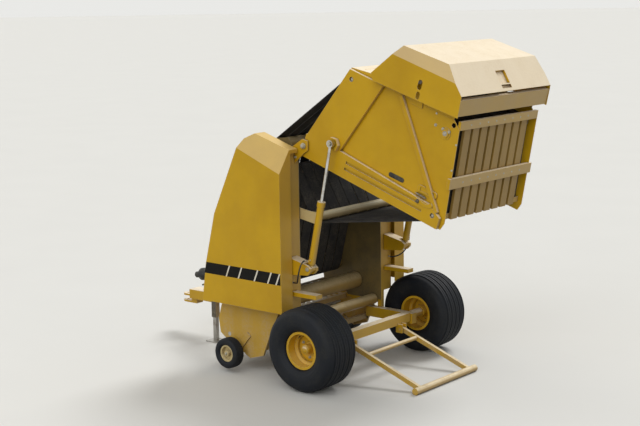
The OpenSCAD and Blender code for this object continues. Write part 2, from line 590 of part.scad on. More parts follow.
// Cross channel under the rear plane: a web between two flanges
channel_at = [-1040, 930];
channel_w = 180;
channel_d = 60;
channel_t = 5;
module rear_cover() color(yellow) opened() {
    difference() {
        union() {
            difference() {
                cover_form(0);
                cover_form(cover_t);
                // Open below the rear plane
                slab([[-1072, 880], [-1086, 934], [-1060, 960], [-700, 960], [-700, 880]], -cover_y + cover_t, cover_y - cover_t);
            }
            slab(plane_patch(grip[0] - 4, grip[1] + 4, 1, grip[2]), grip[3] - 4, grip[4] + 4);
            slab([channel_at, channel_at + [channel_w, -14], channel_at + [channel_w, channel_d - 14], channel_at + [channel_w - channel_t, channel_d - 14],
                channel_at + [channel_w - channel_t, channel_t - 14], channel_at + [channel_t, channel_t], channel_at + [channel_t, channel_d],
                channel_at + [0, channel_d]], -cover_y + 1, cover_y - 1);
        }
        slab(plane_patch(grip[0], grip[1], -5, grip[2] - 4), grip[3], grip[4]);
        // Gap below the grip's lip
        slab(plane_patch(grip[1] + grip_lip, grip[1] + grip_lip + 44, -5, 20), grip[3], grip[4]);
        // The sides' free edges lean a little
        slab([[-812, 2200], [-855, 700], [-600, 700], [-600, 2200]], -cover_y - 1, cover_y + 1);
        // Room for the tailgate's frame between the cover's sides
        slab(inset(gate_outline, -gate_room), -rib_out - gate_room, rib_out + gate_room);
        // Room for the ears
        both() across(cover_hinge.x, cover_hinge.y, cover_ear + 6, wall_in - 6, wall_out + 6);
        both() for (h = handle_slots) {
            strut(h[0], h[1], 2 * h[2], cover_y - 20, cover_y + 5);
            for (k = [0, 1]) across(h[k].x, h[k].y, h[2], cover_y - 20, cover_y + 5);
        }
    }
    across(cover_hinge.x, cover_hinge.y, cover_rod, -wall_out - 4, wall_out + 4);
}

// Pickup: side sheets, reel, stripper bands and wind guard

pickup_pivot = [760, 700];
side_y = wall_out + 234;
pickup_outline = [[600, 790], [720, 560], [860, 230], [1080, 165], [1230, 250], [1440, 330], [1570, 420], [1600, 600], [1540, 790]];
module pickup_sides() color(yellow) both() {
    difference() {
        union() {
            slab(pickup_outline, side_y, side_y + 8);
            // Turned edge
            difference() {
                slab(pickup_outline, side_y - 24, side_y + 1);
                slab(inset(pickup_outline, 6), side_y - 25, side_y + 2);
            }
        }
        across(reel_x, reel_z, 26 + seat, side_y - 1, side_y + 9);
    }
    // Gauge wheel arm and stub axle
    strut([1080, 470], [gauge_x, gauge_z], 70, side_y + 8, side_y + 26);
    across(gauge_x, gauge_z, 16, side_y + 25, side_y + 214);
}
gauge_x = 1285;
gauge_z = gauge_d / 2 + 45;
channel = [1060, 575];
module pickup_frame() color(yellow) {
    // Cross channel behind the reel and the lower pan
    box([channel.x, -side_y + seat, channel.y], [channel.x + 60, side_y - seat, channel.y + 60]);
    strut([900, 300], [1150, 250], 8, -side_y + seat, side_y - seat);
    box([852, -side_y + seat, 290], [912, side_y - seat, 350]);
    both() difference() {
        union() {
            strut([channel.x + 30, channel.y + 30], pickup_pivot, 60, wall_out + 32, wall_out + 52);
            across(pickup_pivot.x, pickup_pivot.y, 42, wall_out + 32, wall_out + 52);
        }
        across(pickup_pivot.x, pickup_pivot.y, 22 + seat, wall_out + 31, wall_out + 53);
    }
}
bands = tines + 1;
tine_pitch = 1720 / tines;
band_r = 235;
module pickup_bands() color(yellow) for (i = [0:bands - 1]) {
    y = (i - (bands - 1) / 2) * tine_pitch;
    translate([0, y + tine_pitch * 0.32, 0]) difference() {
        translate([reel_x, 0, reel_z]) rotate([90, 0, 0]) cylinder(r = band_r, h = tine_pitch * 0.64);
        translate([reel_x, 1, reel_z]) rotate([90, 0, 0]) cylinder(r = band_r - 3, h = tine_pitch * 0.64 + 2);
        translate([reel_x - 400, -tine_pitch, reel_z - 400]) cube([400 - 130, tine_pitch * 2, 800]);
    }
    // Straps from the cross channel and from the pan to the band's two ends
    strut([channel.x + 60 + seat, 612], [reel_x - 126, 613.6], 3, y - tine_pitch * 0.32, y + tine_pitch * 0.32);
    strut([1151.2, 249], [reel_x - 126, 226.6], 3, y - tine_pitch * 0.32, y + tine_pitch * 0.32);
}
module tine_reel() color(steel) {
    across(reel_x, reel_z, 45, -960, 960);
    across(reel_x, reel_z, 26, -side_y - 6, side_y + 6);
    for (b = [0:tine_bars - 1]) translate([reel_x, 0, reel_z]) rotate([0, b * 360 / tine_bars + 20, 0]) {
        translate([150, 960, 0]) rotate([90, 0, 0]) cylinder(r = 16, h = 1920);
        for (y = [-900, -300, 300, 900]) translate([0, y - 4, -20]) cube([150, 8, 40]);
        for (i = [0:tines - 1]) translate([150, (i - (tines - 1) / 2) * tine_pitch, 0]) rotate([0, 90, 0]) cylinder(r = 3.5, h = tine_r - 150, $fn = 6);
    }
}
guard = [reel_x + 90, reel_z + 340];
guard_foot = [1220, 640];
guard_rods = 12;
module wind_guard() color(steel) {
    across(guard.x, guard.y, 21, -side_y + 20, side_y - 20);
    for (i = [0:guard_rods - 1]) translate([guard.x, (i - (guard_rods - 1) / 2) * 138, guard.y]) rotate([0, -92, 0])
        cylinder(r = 5, h = 330, $fn = 6);
    both() {
        strut(guard, guard_foot, 30, side_y - 32, side_y - 20);
        across(guard_foot.x, guard_foot.y, 12, side_y - 21, side_y - seat);
    }
}

// Wheels: ribbed implement tyres on dished rims

// Tyre: outer diameter, section width, bead radius, half width at the beads and number of tread grooves
module tyre(y, od, w, bead, seat_half, grooves) {
    r = od / 2;
    h = w / 2;
    groove_pitch = 2 * (0.72 * h - 18) / max(grooves - 1, 1);
    groove = [for (i = [0:grooves - 1]) let (g = (i - (grooves - 1) / 2) * groove_pitch)
        each [[r, g - 12], [r - 16, g - 8], [r - 16, g + 8], [r, g + 12]]];
    outer = [[bead, -seat_half], [bead + 26, -seat_half], [bead + 40, -seat_half - 0.4 * (h - seat_half)],
        [bead + 0.35 * (r - bead), -h * 0.97], [r * 0.78, -h], [r * 0.88, -h * 0.96], [r * 0.945, -h * 0.86], [r * 0.985, -h * 0.72]];
    inner = [[bead, seat_half * 0.8], [bead + 40, seat_half * 0.8], [r * 0.72, h * 0.84], [r * 0.86, h * 0.72], [r * 0.91, h * 0.5]];
    translate([0, y, 0]) rotate([-90, 0, 0]) rotate_extrude() polygon(concat(outer, groove,
        [for (i = [7:-1:0]) [outer[i].x, -outer[i].y]], inner, [for (i = [4:-1:0]) [inner[i].x, -inner[i].y]]));
}
bead_half = 188;
flange_h = 22;
flange_t = 8;
// Rim: barrel between two flanges, dished disc and hub
module main_wheel_tyre(side) color(rubber) translate([0, 0, axle_z]) tyre(side * tyre_y, tyre_d, tyre_w, rim_d / 2 + seat, bead_half, 5);
module main_wheel_rim(side) color(yellow) translate([0, 0, axle_z]) difference() {
    bead = rim_d / 2;
    edge = bead_half + seat;
    translate([0, side * tyre_y, 0]) rotate([-90 * side, 0, 0]) union() {
        // Barrel with its well, and the flange on each side
        rotate_extrude() polygon([[bead, -edge], [bead + flange_h, -edge], [bead + flange_h, -edge - flange_t],
            [bead - 8, -edge - flange_t], [bead - 8, -60], [bead - 38, -40], [bead - 38, 60], [bead - 8, 80],
            [bead - 8, edge + flange_t], [bead + flange_h, edge + flange_t], [bead + flange_h, edge], [bead, edge],
            [bead, 86], [bead - 30, 66], [bead - 30, -46], [bead, -66]]);
        // Disc
        rotate_extrude() polygon([[60, 6], [bead - 80, 24], [bead - 36, 20], [bead - 36, 32], [bead - 84, 36], [60, 18]]);
        // Hub and its cap
        rotate_extrude() polygon([[spindle_r + seat, -100], [66, -100], [74, -20], [74, 30], [56, 40], [56, 118], [50, 126],
            [spindle_r + seat, 126]]);
    }
    for (a = [0:60:300]) rotate([0, a + 30, 0]) translate([(74 + bead - 80) / 2 + 12, side * tyre_y - 100, 0]) rotate([-90, 0, 0])
        cylinder(r = 9, h = 200);
}
module tyre_left() main_wheel_tyre(1);
module tyre_right() main_wheel_tyre(-1);
module rim_left() main_wheel_rim(1);
module rim_right() main_wheel_rim(-1);
gauge_y = side_y + 160;
gauge_w = 150;
gauge_bead = 92;
gauge_half = 44;
module gauge_tyre(side) color(rubber) translate([gauge_x, 0, gauge_z]) tyre(side * gauge_y, gauge_d, gauge_w, gauge_bead + seat, gauge_half, 0);
module gauge_rim(side) color([0.85, 0.78, 0.60]) translate([gauge_x, side * gauge_y, gauge_z]) rotate([-90 * side, 0, 0])
    rotate_extrude() polygon([[16 + seat, -54], [34, -54], [34, -6], [gauge_bead - 8, -2], [gauge_bead - 8, -gauge_half - 6],
        [gauge_bead + 14, -gauge_half - 6], [gauge_bead + 14, -gauge_half - seat], [gauge_bead, -gauge_half - seat],
        [gauge_bead, gauge_half + seat], [gauge_bead + 14, gauge_half + seat], [gauge_bead + 14, gauge_half + 6],
        [gauge_bead - 8, gauge_half + 6], [gauge_bead - 8, 10], [34, 6], [34, 54], [16 + seat, 54]]);
module gauge_tyre_left() gauge_tyre(1);
module gauge_tyre_right() gauge_tyre(-1);
module gauge_rim_left() gauge_rim(1);
module gauge_rim_right() gauge_rim(-1);

// Bale ramp behind the axle, lying on the ground

ramp_end = [-1120, 42];
ramp_mid = ramp_pin + (ramp_end - ramp_pin) * 0.22;
module bale_ramp() color(yellow) {
    both() difference() {
        strut(ramp_pin, ramp_end, 56, ramp_y - 22, ramp_y + 22);
        across(ramp_pin.x, ramp_pin.y, 8, ramp_y - 30, ramp_y + 30);
    }
    both() across(ramp_pin.x, ramp_pin.y, 15.7, ramp_y - 56, ramp_y + 56);
    across(ramp_mid.x, ramp_mid.y, 26, -ramp_y + 22, ramp_y - 22);
    across(ramp_end.x, ramp_end.y, 42, -ramp_y - 120, ramp_y + 120);
}

// Drawbar, jack, gearbox and driveline

tongue_x = 2640;
plate_x = 1510 + seat;
plate_z = 1180;
beam_w = 90;
beam_h = 130;
module drawbar() color(yellow) difference() {
    union() {
        both() beam([plate_x + 50, 520, plate_z], [tongue_x, 60, hitch_z + 75]);
        box([plate_x, -600, plate_z - 65], [plate_x + 54, 600, plate_z + 65]);
        box([tongue_x - 60, -95, hitch_z + 12], [hitch_x - 120, 95, hitch_z + 138]);
        // Clevis
        for (z = [hitch_z + 32, hitch_z - 58]) translate([0, 0, z]) linear_extrude(26) union() {
            translate([hitch_x - 220, -60]) square([220, 120]);
            translate([hitch_x, 0]) circle(r = 60);
        }
        box([hitch_x - 220, -60, hitch_z - 58], [hitch_x - 120, 60, hitch_z + 58]);
        // Stand for the parked driveline
        box([rest_x - 12, -58, hitch_z + 130], [rest_x + 12, 58, pto_z(rest_x) + 30]);
        // Jack bracket
        box([jack_x - 40, 140, 600], [jack_x + 40, jack_y - 38 - seat, 700]);
    }
    translate([hitch_x, 0, hitch_z - 100]) cylinder(r = hitch_r, h = 200);
    along_pto() translate([0, 0, 300]) cylinder(r = pto_r + seat, h = pto_len);
    translate([0, 0, pto_z(rest_x)]) box([rest_x - 13, -pto_r - seat, 0], [rest_x + 13, pto_r + seat, 200]);
}
module beam(a, b) {
    d = b - a;
    translate(a) rotate([0, 0, atan2(d.y, d.x)]) rotate([0, -atan2(d.z, norm([d.x, d.y])), 0]) translate([0, -beam_w / 2, -beam_h / 2])
        cube([norm(d), beam_w, beam_h]);
}
pto_a = [1800, 1012];
pto_b = [2930, 800];
pto_r = 38;
pto_tilt = atan2(pto_a.y - pto_b.y, pto_b.x - pto_a.x);
pto_len = norm(pto_b - pto_a);
rest_x = 2660;
function pto_z(x) = pto_a.y - (x - pto_a.x) * tan(pto_tilt);
module along_pto() translate([pto_a.x, 0, pto_a.y]) rotate([0, 90 + pto_tilt, 0]) children();
gear_front = 1690;
module gearbox() color(yellow) {
    box([1480, -115, 925], [gear_front, 115, plate_z - 65 - seat]);
    across(input_shaft.x, input_shaft.y, 50, -190, -114);
    across(input_shaft.x, input_shaft.y, shaft_r, -shaft_out, -189);
    across(input_shaft.x, input_shaft.y, 50, 114, 160);
    translate([gear_front - 1, 0, pto_z(gear_front)]) rotate([0, 90, 0]) cylinder(r = 62, h = 40);
    along_pto() translate([0, 0, -100]) cylinder(r = 22, h = 140);
}
module driveline() color(rubber) along_pto() difference() {
    union() {
        rotate_extrude() polygon([[0, 0], [95, 0], [95, 40], [48, 170], [44, 620], [pto_r, 620], [pto_r, pto_len - 170],
            [85, pto_len - 60], [85, pto_len - 20], [0, pto_len - 20]]);
        translate([0, 0, pto_len - 21]) cylinder(r = 42, h = 110);
    }
    translate([0, 0, -1]) cylinder(r = 22 + seat, h = 42);
    translate([0, 0, pto_len - 10]) cylinder(r = 18, h = 110);
}
jack_x = 2420;
jack_y = 262;
module jack_tube() color(steel) {
    difference() {
        box([jack_x - 38, jack_y - 38, 330], [jack_x + 38, jack_y + 38, 1010]);
        box([jack_x - 32, jack_y - 32, 320], [jack_x + 32, jack_y + 32, 996]);
    }
    across(jack_x, 975, 10, jack_y + 37, jack_y + 130);
    box([jack_x - 9, jack_y + 118, 800], [jack_x + 9, jack_y + 130, 985]);
    across(jack_x, 810, 12, jack_y + 129, jack_y + 230);
}
module jack_leg() color(steel) {
    box([jack_x - 27, jack_y - 27, 11], [jack_x + 27, jack_y + 27, 690]);
    // Guide at the top of the leg, running inside the tube
    box([jack_x - 32 + seat, jack_y - 32 + seat, 650], [jack_x + 32 - seat, jack_y + 32 - seat, 690]);
    box([jack_x - 100, jack_y - 100, 0], [jack_x + 100, jack_y + 100, 12]);
}

place() chamber_walls();
place() main_frame();
place() cross_members();
place() axle();
place() drawbar();
place() gearbox();
place() front_rollers();
place() belts_front();
place() belts_upper();
place() belts_lower();
place() tension_arm();
place() chain_drive();
place() cylinder_brackets();
place() hoses();
place() shield_left();
place() shield_right();
place() barrel(1);  // barrel_left
place() rod(1);  // rod_left
place() barrel(-1);  // barrel_right
place() rod(-1);  // rod_right
place() gate_sides();
place() gate_beams();
place() gate_slats();
place() gate_bars();
place() gate_rollers();
place() gate_top_plate();
place() belts_gate();
place() net_roll();
place() rear_cover();
place() pickup_sides();
place() pickup_frame();
place() pickup_bands();
place() tine_reel();
place() wind_guard();
place() gauge_tyre_left();
place() gauge_rim_left();
place() gauge_tyre_right();
place() gauge_rim_right();
place() tyre_left();
place() rim_left();
place() tyre_right();
place() rim_right();
place() bale_ramp();
place() jack_tube();
place() jack_leg();
place() driveline();
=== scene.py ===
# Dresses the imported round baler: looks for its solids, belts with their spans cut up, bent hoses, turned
# tyres, fasteners and film stripes, in a pale studio seen from the photograph's side. Lengths are in metres.

import math

import bmesh
import bpy
from mathutils import Matrix, Vector


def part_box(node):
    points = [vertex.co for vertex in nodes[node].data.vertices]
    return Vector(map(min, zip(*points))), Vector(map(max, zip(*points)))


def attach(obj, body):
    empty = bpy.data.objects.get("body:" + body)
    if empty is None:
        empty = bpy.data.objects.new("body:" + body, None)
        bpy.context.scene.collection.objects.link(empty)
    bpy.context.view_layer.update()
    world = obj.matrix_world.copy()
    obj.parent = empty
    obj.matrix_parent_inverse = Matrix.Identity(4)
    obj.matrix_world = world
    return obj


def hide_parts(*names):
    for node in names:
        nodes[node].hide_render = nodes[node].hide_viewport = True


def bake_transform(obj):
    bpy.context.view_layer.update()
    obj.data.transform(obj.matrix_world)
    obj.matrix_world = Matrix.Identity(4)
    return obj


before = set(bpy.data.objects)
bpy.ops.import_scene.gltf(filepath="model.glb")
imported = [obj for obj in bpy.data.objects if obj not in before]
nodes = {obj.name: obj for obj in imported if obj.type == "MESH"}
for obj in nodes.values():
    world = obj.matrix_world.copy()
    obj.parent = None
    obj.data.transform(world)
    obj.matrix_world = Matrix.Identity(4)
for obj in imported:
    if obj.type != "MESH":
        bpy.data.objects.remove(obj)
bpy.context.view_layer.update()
leftRight = (("left", 1), ("right", -1))  # each side's name and its direction along y
print("frame loaded:", len(nodes), "nodes")

# Camera: same standpoint as the photo, turned to the machine's middle with a longer lens
cameraSetup = {"place": (-10.63, 12.78, 4.74), "target": (0.14, 0.0, 1.86), "lens": 76, "roll": -0.9,
               "reach": 200}


def addCamera(setup):
    bpy.ops.object.camera_add(location=setup["place"])
    camera = bpy.context.object
    camera.name = "photoCamera"
    look = Vector(setup["target"]) - Vector(setup["place"])
    turn = look.to_track_quat("-Z", "Y").to_matrix().to_4x4()
    roll = Matrix.Rotation(math.radians(setup["roll"]), 4, "Z")
    camera.matrix_world = Matrix.Translation(setup["place"]) @ turn @ roll
    camera.data.lens = setup["lens"]
    camera.data.clip_end = setup["reach"]
    bpy.context.scene.camera = camera


addCamera(cameraSetup)
print("camera placed")


# Small helpers

def linear(hexColour):
    # sRGB hex to the linear values that shader sockets take
    parts = [int(hexColour[i:i + 2], 16) / 255 for i in (1, 3, 5)]
    return [p / 12.92 if p <= 0.04045 else ((p + 0.055) / 1.055) ** 2.4 for p in parts] + [1]


def feed(tree, socket, value):
    # value is a number, a hex colour, an output socket, or a node for its first output in use
    if isinstance(value, bpy.types.Node):
        value = next(s for s in value.outputs if s.enabled)
    if isinstance(value, bpy.types.NodeSocket):
        tree.links.new(value, socket)
    elif isinstance(value, str):
        socket.default_value = linear(value)
    else:
        socket.default_value = value


def addNode(tree, kind, *values, **settings):
    # values feed the inputs in use in their order; settings are properties, or inputs by name
    made = tree.nodes.new("ShaderNode" + kind)
    named = []
    for key, value in settings.items():
        if hasattr(made, key):
            setattr(made, key, value)
        else:
            named.append((made.inputs[key.replace("_", " ")], value))
    for socket, value in list(zip([s for s in made.inputs if s.enabled], values)) + named:
        feed(tree, socket, value)
    return made


def deselectAll():
    if bpy.context.object and bpy.context.object.mode != "OBJECT":
        bpy.ops.object.mode_set(mode="OBJECT")
    bpy.ops.object.select_all(action="DESELECT")


def selectOnly(piece):
    deselectAll()
    piece.select_set(True)
    bpy.context.view_layer.objects.active = piece


def applyPlace(piece):
    # Puts the piece's place, turn and size into its mesh
    selectOnly(piece)
    bpy.ops.object.transform_apply(location=True, rotation=True, scale=True)


def applyModifier(piece, modifier):
    selectOnly(piece)
    bpy.ops.object.modifier_apply(modifier=modifier.name)


def pickEdges(piece, test):
    # Selects the edges whose two ends pass the test, and leaves edit mode on
    selectOnly(piece)
    bpy.ops.object.mode_set(mode="EDIT")
    bpy.ops.mesh.select_mode(type="EDGE")
    bpy.ops.mesh.select_all(action="DESELECT")
    mesh = bmesh.from_edit_mesh(piece.data)
    for edge in mesh.edges:
        edge.select_set(test(edge.verts[0].co, edge.verts[1].co))
    bmesh.update_edit_mesh(piece.data)


def joinPieces(pieces, name):
    deselectAll()
    for piece in pieces:
        piece.select_set(True)
    bpy.context.view_layer.objects.active = pieces[0]
    if len(pieces) > 1:
        bpy.ops.object.join()
    pieces[0].name = name
    return pieces[0]


def settle(piece, smoothAngle=30):
    # Faces look outwards, and only sharp edges show
    applyPlace(piece)
    bpy.ops.object.mode_set(mode="EDIT")
    bpy.ops.mesh.select_all(action="SELECT")
    bpy.ops.mesh.normals_make_consistent(inside=False)
    bpy.ops.object.mode_set(mode="OBJECT")
    bpy.ops.object.shade_smooth_by_angle(angle=math.radians(smoothAngle))
    return piece


def handOver(piece, body, material):
    piece.data.materials.clear()
    piece.data.materials.append(material)
    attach(piece, body)


def bevelAll(piece, width, segments=2, sharperThan=40):
    # Rounds the edges that turn by more than an angle in degrees
    bevel = piece.modifiers.new("edgeRound", "BEVEL")
    bevel.width = width
    bevel.segments = segments
    bevel.limit_method = "ANGLE"
    bevel.angle_limit = math.radians(sharperThan)
    applyModifier(piece, bevel)


# Materials. One pixel of the render is about 8 mm on the machine, so patterns finer than that are drawn
# coarser where they have to show.

def startMaterial(name, **settings):
    # settings are the shader's even values
    material = bpy.data.materials.new(name)
    material.use_nodes = True
    tree = material.node_tree
    shader = tree.nodes["Principled BSDF"]
    for key, value in settings.items():
        shader.inputs[key.replace("_", " ")].default_value = value
    return material, tree, shader, addNode(tree, "TexCoord")


def noiseAt(tree, place, scale, detail=4, roughness=0.55, stretch=(1, 1, 1)):
    # Patches of about 1 / scale metres, in the piece's own space
    mapping = addNode(tree, "Mapping", place.outputs["Object"], Scale=stretch)
    return addNode(tree, "TexNoise", mapping, Scale=scale, Detail=detail, Roughness=roughness).outputs["Fac"]


def baseColour(tree, shader, mask, a, b):
    feed(tree, shader.inputs["Base Color"], addNode(tree, "Mix", mask, a, b, data_type="RGBA"))


def wornEdge(tree, radius, turned):
    # 1 on outer edges, 0 on flats: the rounded normal leaves the flat one there, turned by these cosines
    rounded = addNode(tree, "Bevel", samples=6, Radius=radius)
    flat = addNode(tree, "NewGeometry").outputs["Normal"]
    cosine = addNode(tree, "VectorMath", rounded, flat, operation="DOT_PRODUCT")
    return addNode(tree, "MapRange", cosine, *turned)


def addBump(tree, shader, height, strength, depth, **more):
    # depth is in metres
    bump = addNode(tree, "Bump", Height=height, Strength=strength, Distance=depth, **more)
    feed(tree, shader.inputs["Normal"], bump)


# Satin enamel sprayed on pressed sheet: a warm yellow with a low gloss, lightened by a painted highlight
# where it faces up, tan with dried crop dust low down and on ledges, and worn lighter along its edges. Its
# corners and creases are darkened by painted shade from ambient occlusion. Its orange peel is 3 mm across,
# its dust lies in specks of up to
# 30 mm. Pairs are a mask's ends: the value where it starts and the value where it is full.
enamel = {"rough": 0.34, "dustRough": 0.72, "ior": 1.5, "specular": 0.3,
          "patchScale": 1.3, "patches": (0.38, 0.66), "speckleScale": 34, "speckles": (0.3, 0.72),
          "streakScale": 5.0, "streakStretch": (1, 1, 0.16), "streaks": (0.32, 0.68),
          "upward": (0.1, 0.48), "ledge": (0.1, 0.9), "ledgeDust": 0.35, "dustHeights": (0.9, 0.1),
          "film": (0.0, 1.2), "filmRough": (0, 0.9), "chaff": "#C4AC82",
          "chaffPatches": (0.25, 0.6, 0.6, 1), "rearward": (-0.5, -0.95), "sheltered": (0.4, 0.15),
          "edgeRadius": 0.009, "edgeTurn": (0.995, 0.86), "edgeSpeckles": (0.36, 0.6), "edgeWear": 0.5,
          "softRadius": 0.004, "peelScale": 320, "peelDepth": 0.0004, "peelStrength": 0.25,
          "cornerReach": 0.035, "corners": (0.78, 0.35), "cornerShadeStrength": 0.75, "cornerShadeColour": "#4A3510"}


def enamelPaint(name, main, deep, paintedHighlightColour, dust, dustAmount, edge="#E6CB86", paintedHighlightAmount=0.85, thrown=0.75):
    # The last two are the strength of the painted highlight on upward faces and how far the chamber's chaff
    # covers the paint
    material, tree, shader, place = startMaterial(name, IOR=enamel["ior"],
                                                  Specular_IOR_Level=enamel["specular"])
    patches = noiseAt(tree, place, enamel["patchScale"], 5, 0.6)
    streaks = noiseAt(tree, place, enamel["streakScale"], 5, 0.6, enamel["streakStretch"])
    speckle = noiseAt(tree, place, enamel["speckleScale"], 6, 0.72)
    normal = addNode(tree, "SeparateXYZ", place.outputs["Normal"]).outputs
    height = addNode(tree, "SeparateXYZ", place.outputs["Object"]).outputs["Z"]
    worn = addNode(tree, "MapRange", patches, *enamel["patches"])
    paint = addNode(tree, "Mix", worn, main, deep, data_type="RGBA")
    # Painted highlight: faces that point up are mixed towards the paler colour, standing in for light from
    # above
    upward = addNode(tree, "MapRange", normal["Z"], *enamel["upward"])
    upward = addNode(tree, "Math", upward, paintedHighlightAmount, operation="MULTIPLY")
    paint = addNode(tree, "Mix", upward, paint, paintedHighlightColour, data_type="RGBA")
    low = addNode(tree, "MapRange", height, *enamel["dustHeights"])
    ledge = addNode(tree, "MapRange", normal["Z"], *enamel["ledge"])
    ledge = addNode(tree, "Math", ledge, enamel["ledgeDust"], operation="MULTIPLY")
    reach = addNode(tree, "Math", low, ledge, operation="MAXIMUM")
    reach = addNode(tree, "Math", reach, dustAmount, operation="ADD")
    specks = addNode(tree, "MapRange", speckle, *enamel["speckles"])
    streaks = addNode(tree, "MapRange", streaks, *enamel["streaks"])
    specks = addNode(tree, "Math", specks, streaks, operation="MULTIPLY")
    film = addNode(tree, "Math", reach, specks, operation="MULTIPLY")
    mask = addNode(tree, "MapRange", film, *enamel["film"])
    paint = addNode(tree, "Mix", mask, paint, dust, data_type="RGBA")
    if thrown > 0:
        # Chaff from the chamber settles on what looks back and isn't turned up to the rain
        patchy = addNode(tree, "MapRange", patches, *enamel["chaffPatches"])
        rearward = addNode(tree, "MapRange", normal["X"], *enamel["rearward"])
        sheltered = addNode(tree, "MapRange", normal["Z"], *enamel["sheltered"])
        chaff = addNode(tree, "Math", rearward, patchy, operation="MULTIPLY")
        chaff = addNode(tree, "Math", chaff, sheltered, operation="MULTIPLY")
        chaff = addNode(tree, "Math", chaff, thrown, operation="MULTIPLY")
        paint = addNode(tree, "Mix", chaff, paint, enamel["chaff"], data_type="RGBA")
    edges = wornEdge(tree, enamel["edgeRadius"], enamel["edgeTurn"])
    broken = addNode(tree, "MapRange", speckle, *enamel["edgeSpeckles"])
    edges = addNode(tree, "Math", edges, broken, operation="MULTIPLY")
    edges = addNode(tree, "Math", edges, enamel["edgeWear"], operation="MULTIPLY")
    paint = addNode(tree, "Mix", edges, paint, edge, data_type="RGBA")
    # Painted shade: ambient occlusion darkens corners, creases and the grooves beside ribs towards a dark
    # brown
    nearby = addNode(tree, "AmbientOcclusion", samples=6, Distance=enamel["cornerReach"]).outputs["AO"]
    paintedCornerShade = addNode(tree, "MapRange", nearby, *enamel["corners"], 0, enamel["cornerShadeStrength"])
    baseColour(tree, shader, paintedCornerShade, paint, enamel["cornerShadeColour"])
    rough = addNode(tree, "MapRange", film, *enamel["filmRough"], enamel["rough"], enamel["dustRough"])
    feed(tree, shader.inputs["Roughness"], rough)
    peel = noiseAt(tree, place, enamel["peelScale"], 2)
    soft = addNode(tree, "Bevel", samples=4, Radius=enamel["softRadius"])
    addBump(tree, shader, peel, enamel["peelStrength"], enamel["peelDepth"], Normal=soft)
    return material


# Rolled mild steel: grey with brown flash rust in grains of 14 mm, polished where the crop runs over it
steelLook = {"patchScale": 7, "grainScale": 70, "grainShare": 0.3, "rustStart": 0.86, "rustFull": 0.98,
             "metal": (0.85, 0.1), "rough": (0.38, 0.8), "grainDepth": 0.0006}


def rolledSteel(name, bright, rust, rustAmount):
    material, tree, shader, place = startMaterial(name)
    patches = noiseAt(tree, place, steelLook["patchScale"], 6, 0.65)
    grain = noiseAt(tree, place, steelLook["grainScale"], 4, 0.6)
    rusty = addNode(tree, "Math", grain, steelLook["grainShare"], operation="MULTIPLY")
    rusty = addNode(tree, "Math", patches, rusty, operation="ADD")
    mask = addNode(tree, "MapRange", rusty, steelLook["rustStart"] - rustAmount, steelLook["rustFull"])
    baseColour(tree, shader, mask, bright, rust)
    feed(tree, shader.inputs["Metallic"], addNode(tree, "MapRange", mask, 0, 1, *steelLook["metal"]))
    feed(tree, shader.inputs["Roughness"], addNode(tree, "MapRange", mask, 0, 1, *steelLook["rough"]))
    addBump(tree, shader, grain, 0.2, steelLook["grainDepth"])
    return material


# Hard chrome ground round: a clean mirror with a thin film of dust
chromeLook = {"clean": "#D4D4D2", "dust": "#A89E8C", "dustScale": 9, "dusty": (0.4, 0.75),
              "rough": (0.12, 0.34)}


def chromedRod(name):
    material, tree, shader, place = startMaterial(name, Metallic=1.0)
    film = noiseAt(tree, place, chromeLook["dustScale"])
    film = addNode(tree, "MapRange", film, *chromeLook["dusty"])
    baseColour(tree, shader, film, chromeLook["clean"], chromeLook["dust"])
    feed(tree, shader.inputs["Roughness"], addNode(tree, "MapRange", film, 0, 1, *chromeLook["rough"]))
    return material


def dustOver(tree, shader, place, look):
    # Dust in large patches broken up by fine ones: gives the fine noise and the dust's mask
    dust = noiseAt(tree, place, *look["dustNoise"])
    fine = noiseAt(tree, place, look["fineScale"], 5, 0.7)
    dusty = addNode(tree, "MapRange", dust, *look["dusty"])
    broken = addNode(tree, "MapRange", fine, *look["fine"])
    mask = addNode(tree, "Math", dusty, broken, operation="MULTIPLY")
    baseColour(tree, shader, mask, look["clean"], look["dust"])
    return fine, mask


# Woven rubber belting: black, rough, greyed with chaff, with cross ribs. They are drawn 20 mm apart, coarser
# than the real ones, to show.
beltLook = {"clean": "#17171A", "dust": "#5A5347", "dustNoise": (6, 5, 0.65), "dusty": (0.35, 0.7),
            "fineScale": 55, "fine": (0.35, 0.7), "rough": 0.78, "ribScale": 16, "ribDepth": 0.002}


def beltRubber(name):
    material, tree, shader, place = startMaterial(name, Roughness=beltLook["rough"])
    dustOver(tree, shader, place, beltLook)
    ribs = addNode(tree, "TexWave", place.outputs["Object"], Scale=beltLook["ribScale"], Distortion=0.4,
                   bands_direction="Z")
    addBump(tree, shader, ribs.outputs["Fac"], 0.4, beltLook["ribDepth"])
    return material


# Moulded carbon black rubber: black with a blue tint that is painted skylight, dull, dusty brown on the tread
# and in the ribs, its grain 17 mm
tyreLook = {"clean": "#0C1119", "dust": "#35342F", "dustNoise": (5, 6, 0.7), "dusty": (0.45, 0.8),
            "fineScale": 60, "fine": (0.35, 0.65), "rough": (0.62, 0.9), "specular": 0.3, "grainDepth": 0.001}


def tyreRubber(name):
    material, tree, shader, place = startMaterial(name, Specular_IOR_Level=tyreLook["specular"])
    fine, mask = dustOver(tree, shader, place, tyreLook)
    feed(tree, shader.inputs["Roughness"], addNode(tree, "MapRange", mask, 0, 1, *tyreLook["rough"]))
    addBump(tree, shader, fine, 0.25, tyreLook["grainDepth"])
    return material


# Injection moulded polyethylene, hose cover or film: matt with a film of dust, its grain 11 mm
plasticLook = {"dustScale": 12, "dusty": (0.48, 0.8), "fineScale": 90, "grainDepth": 0.0006}


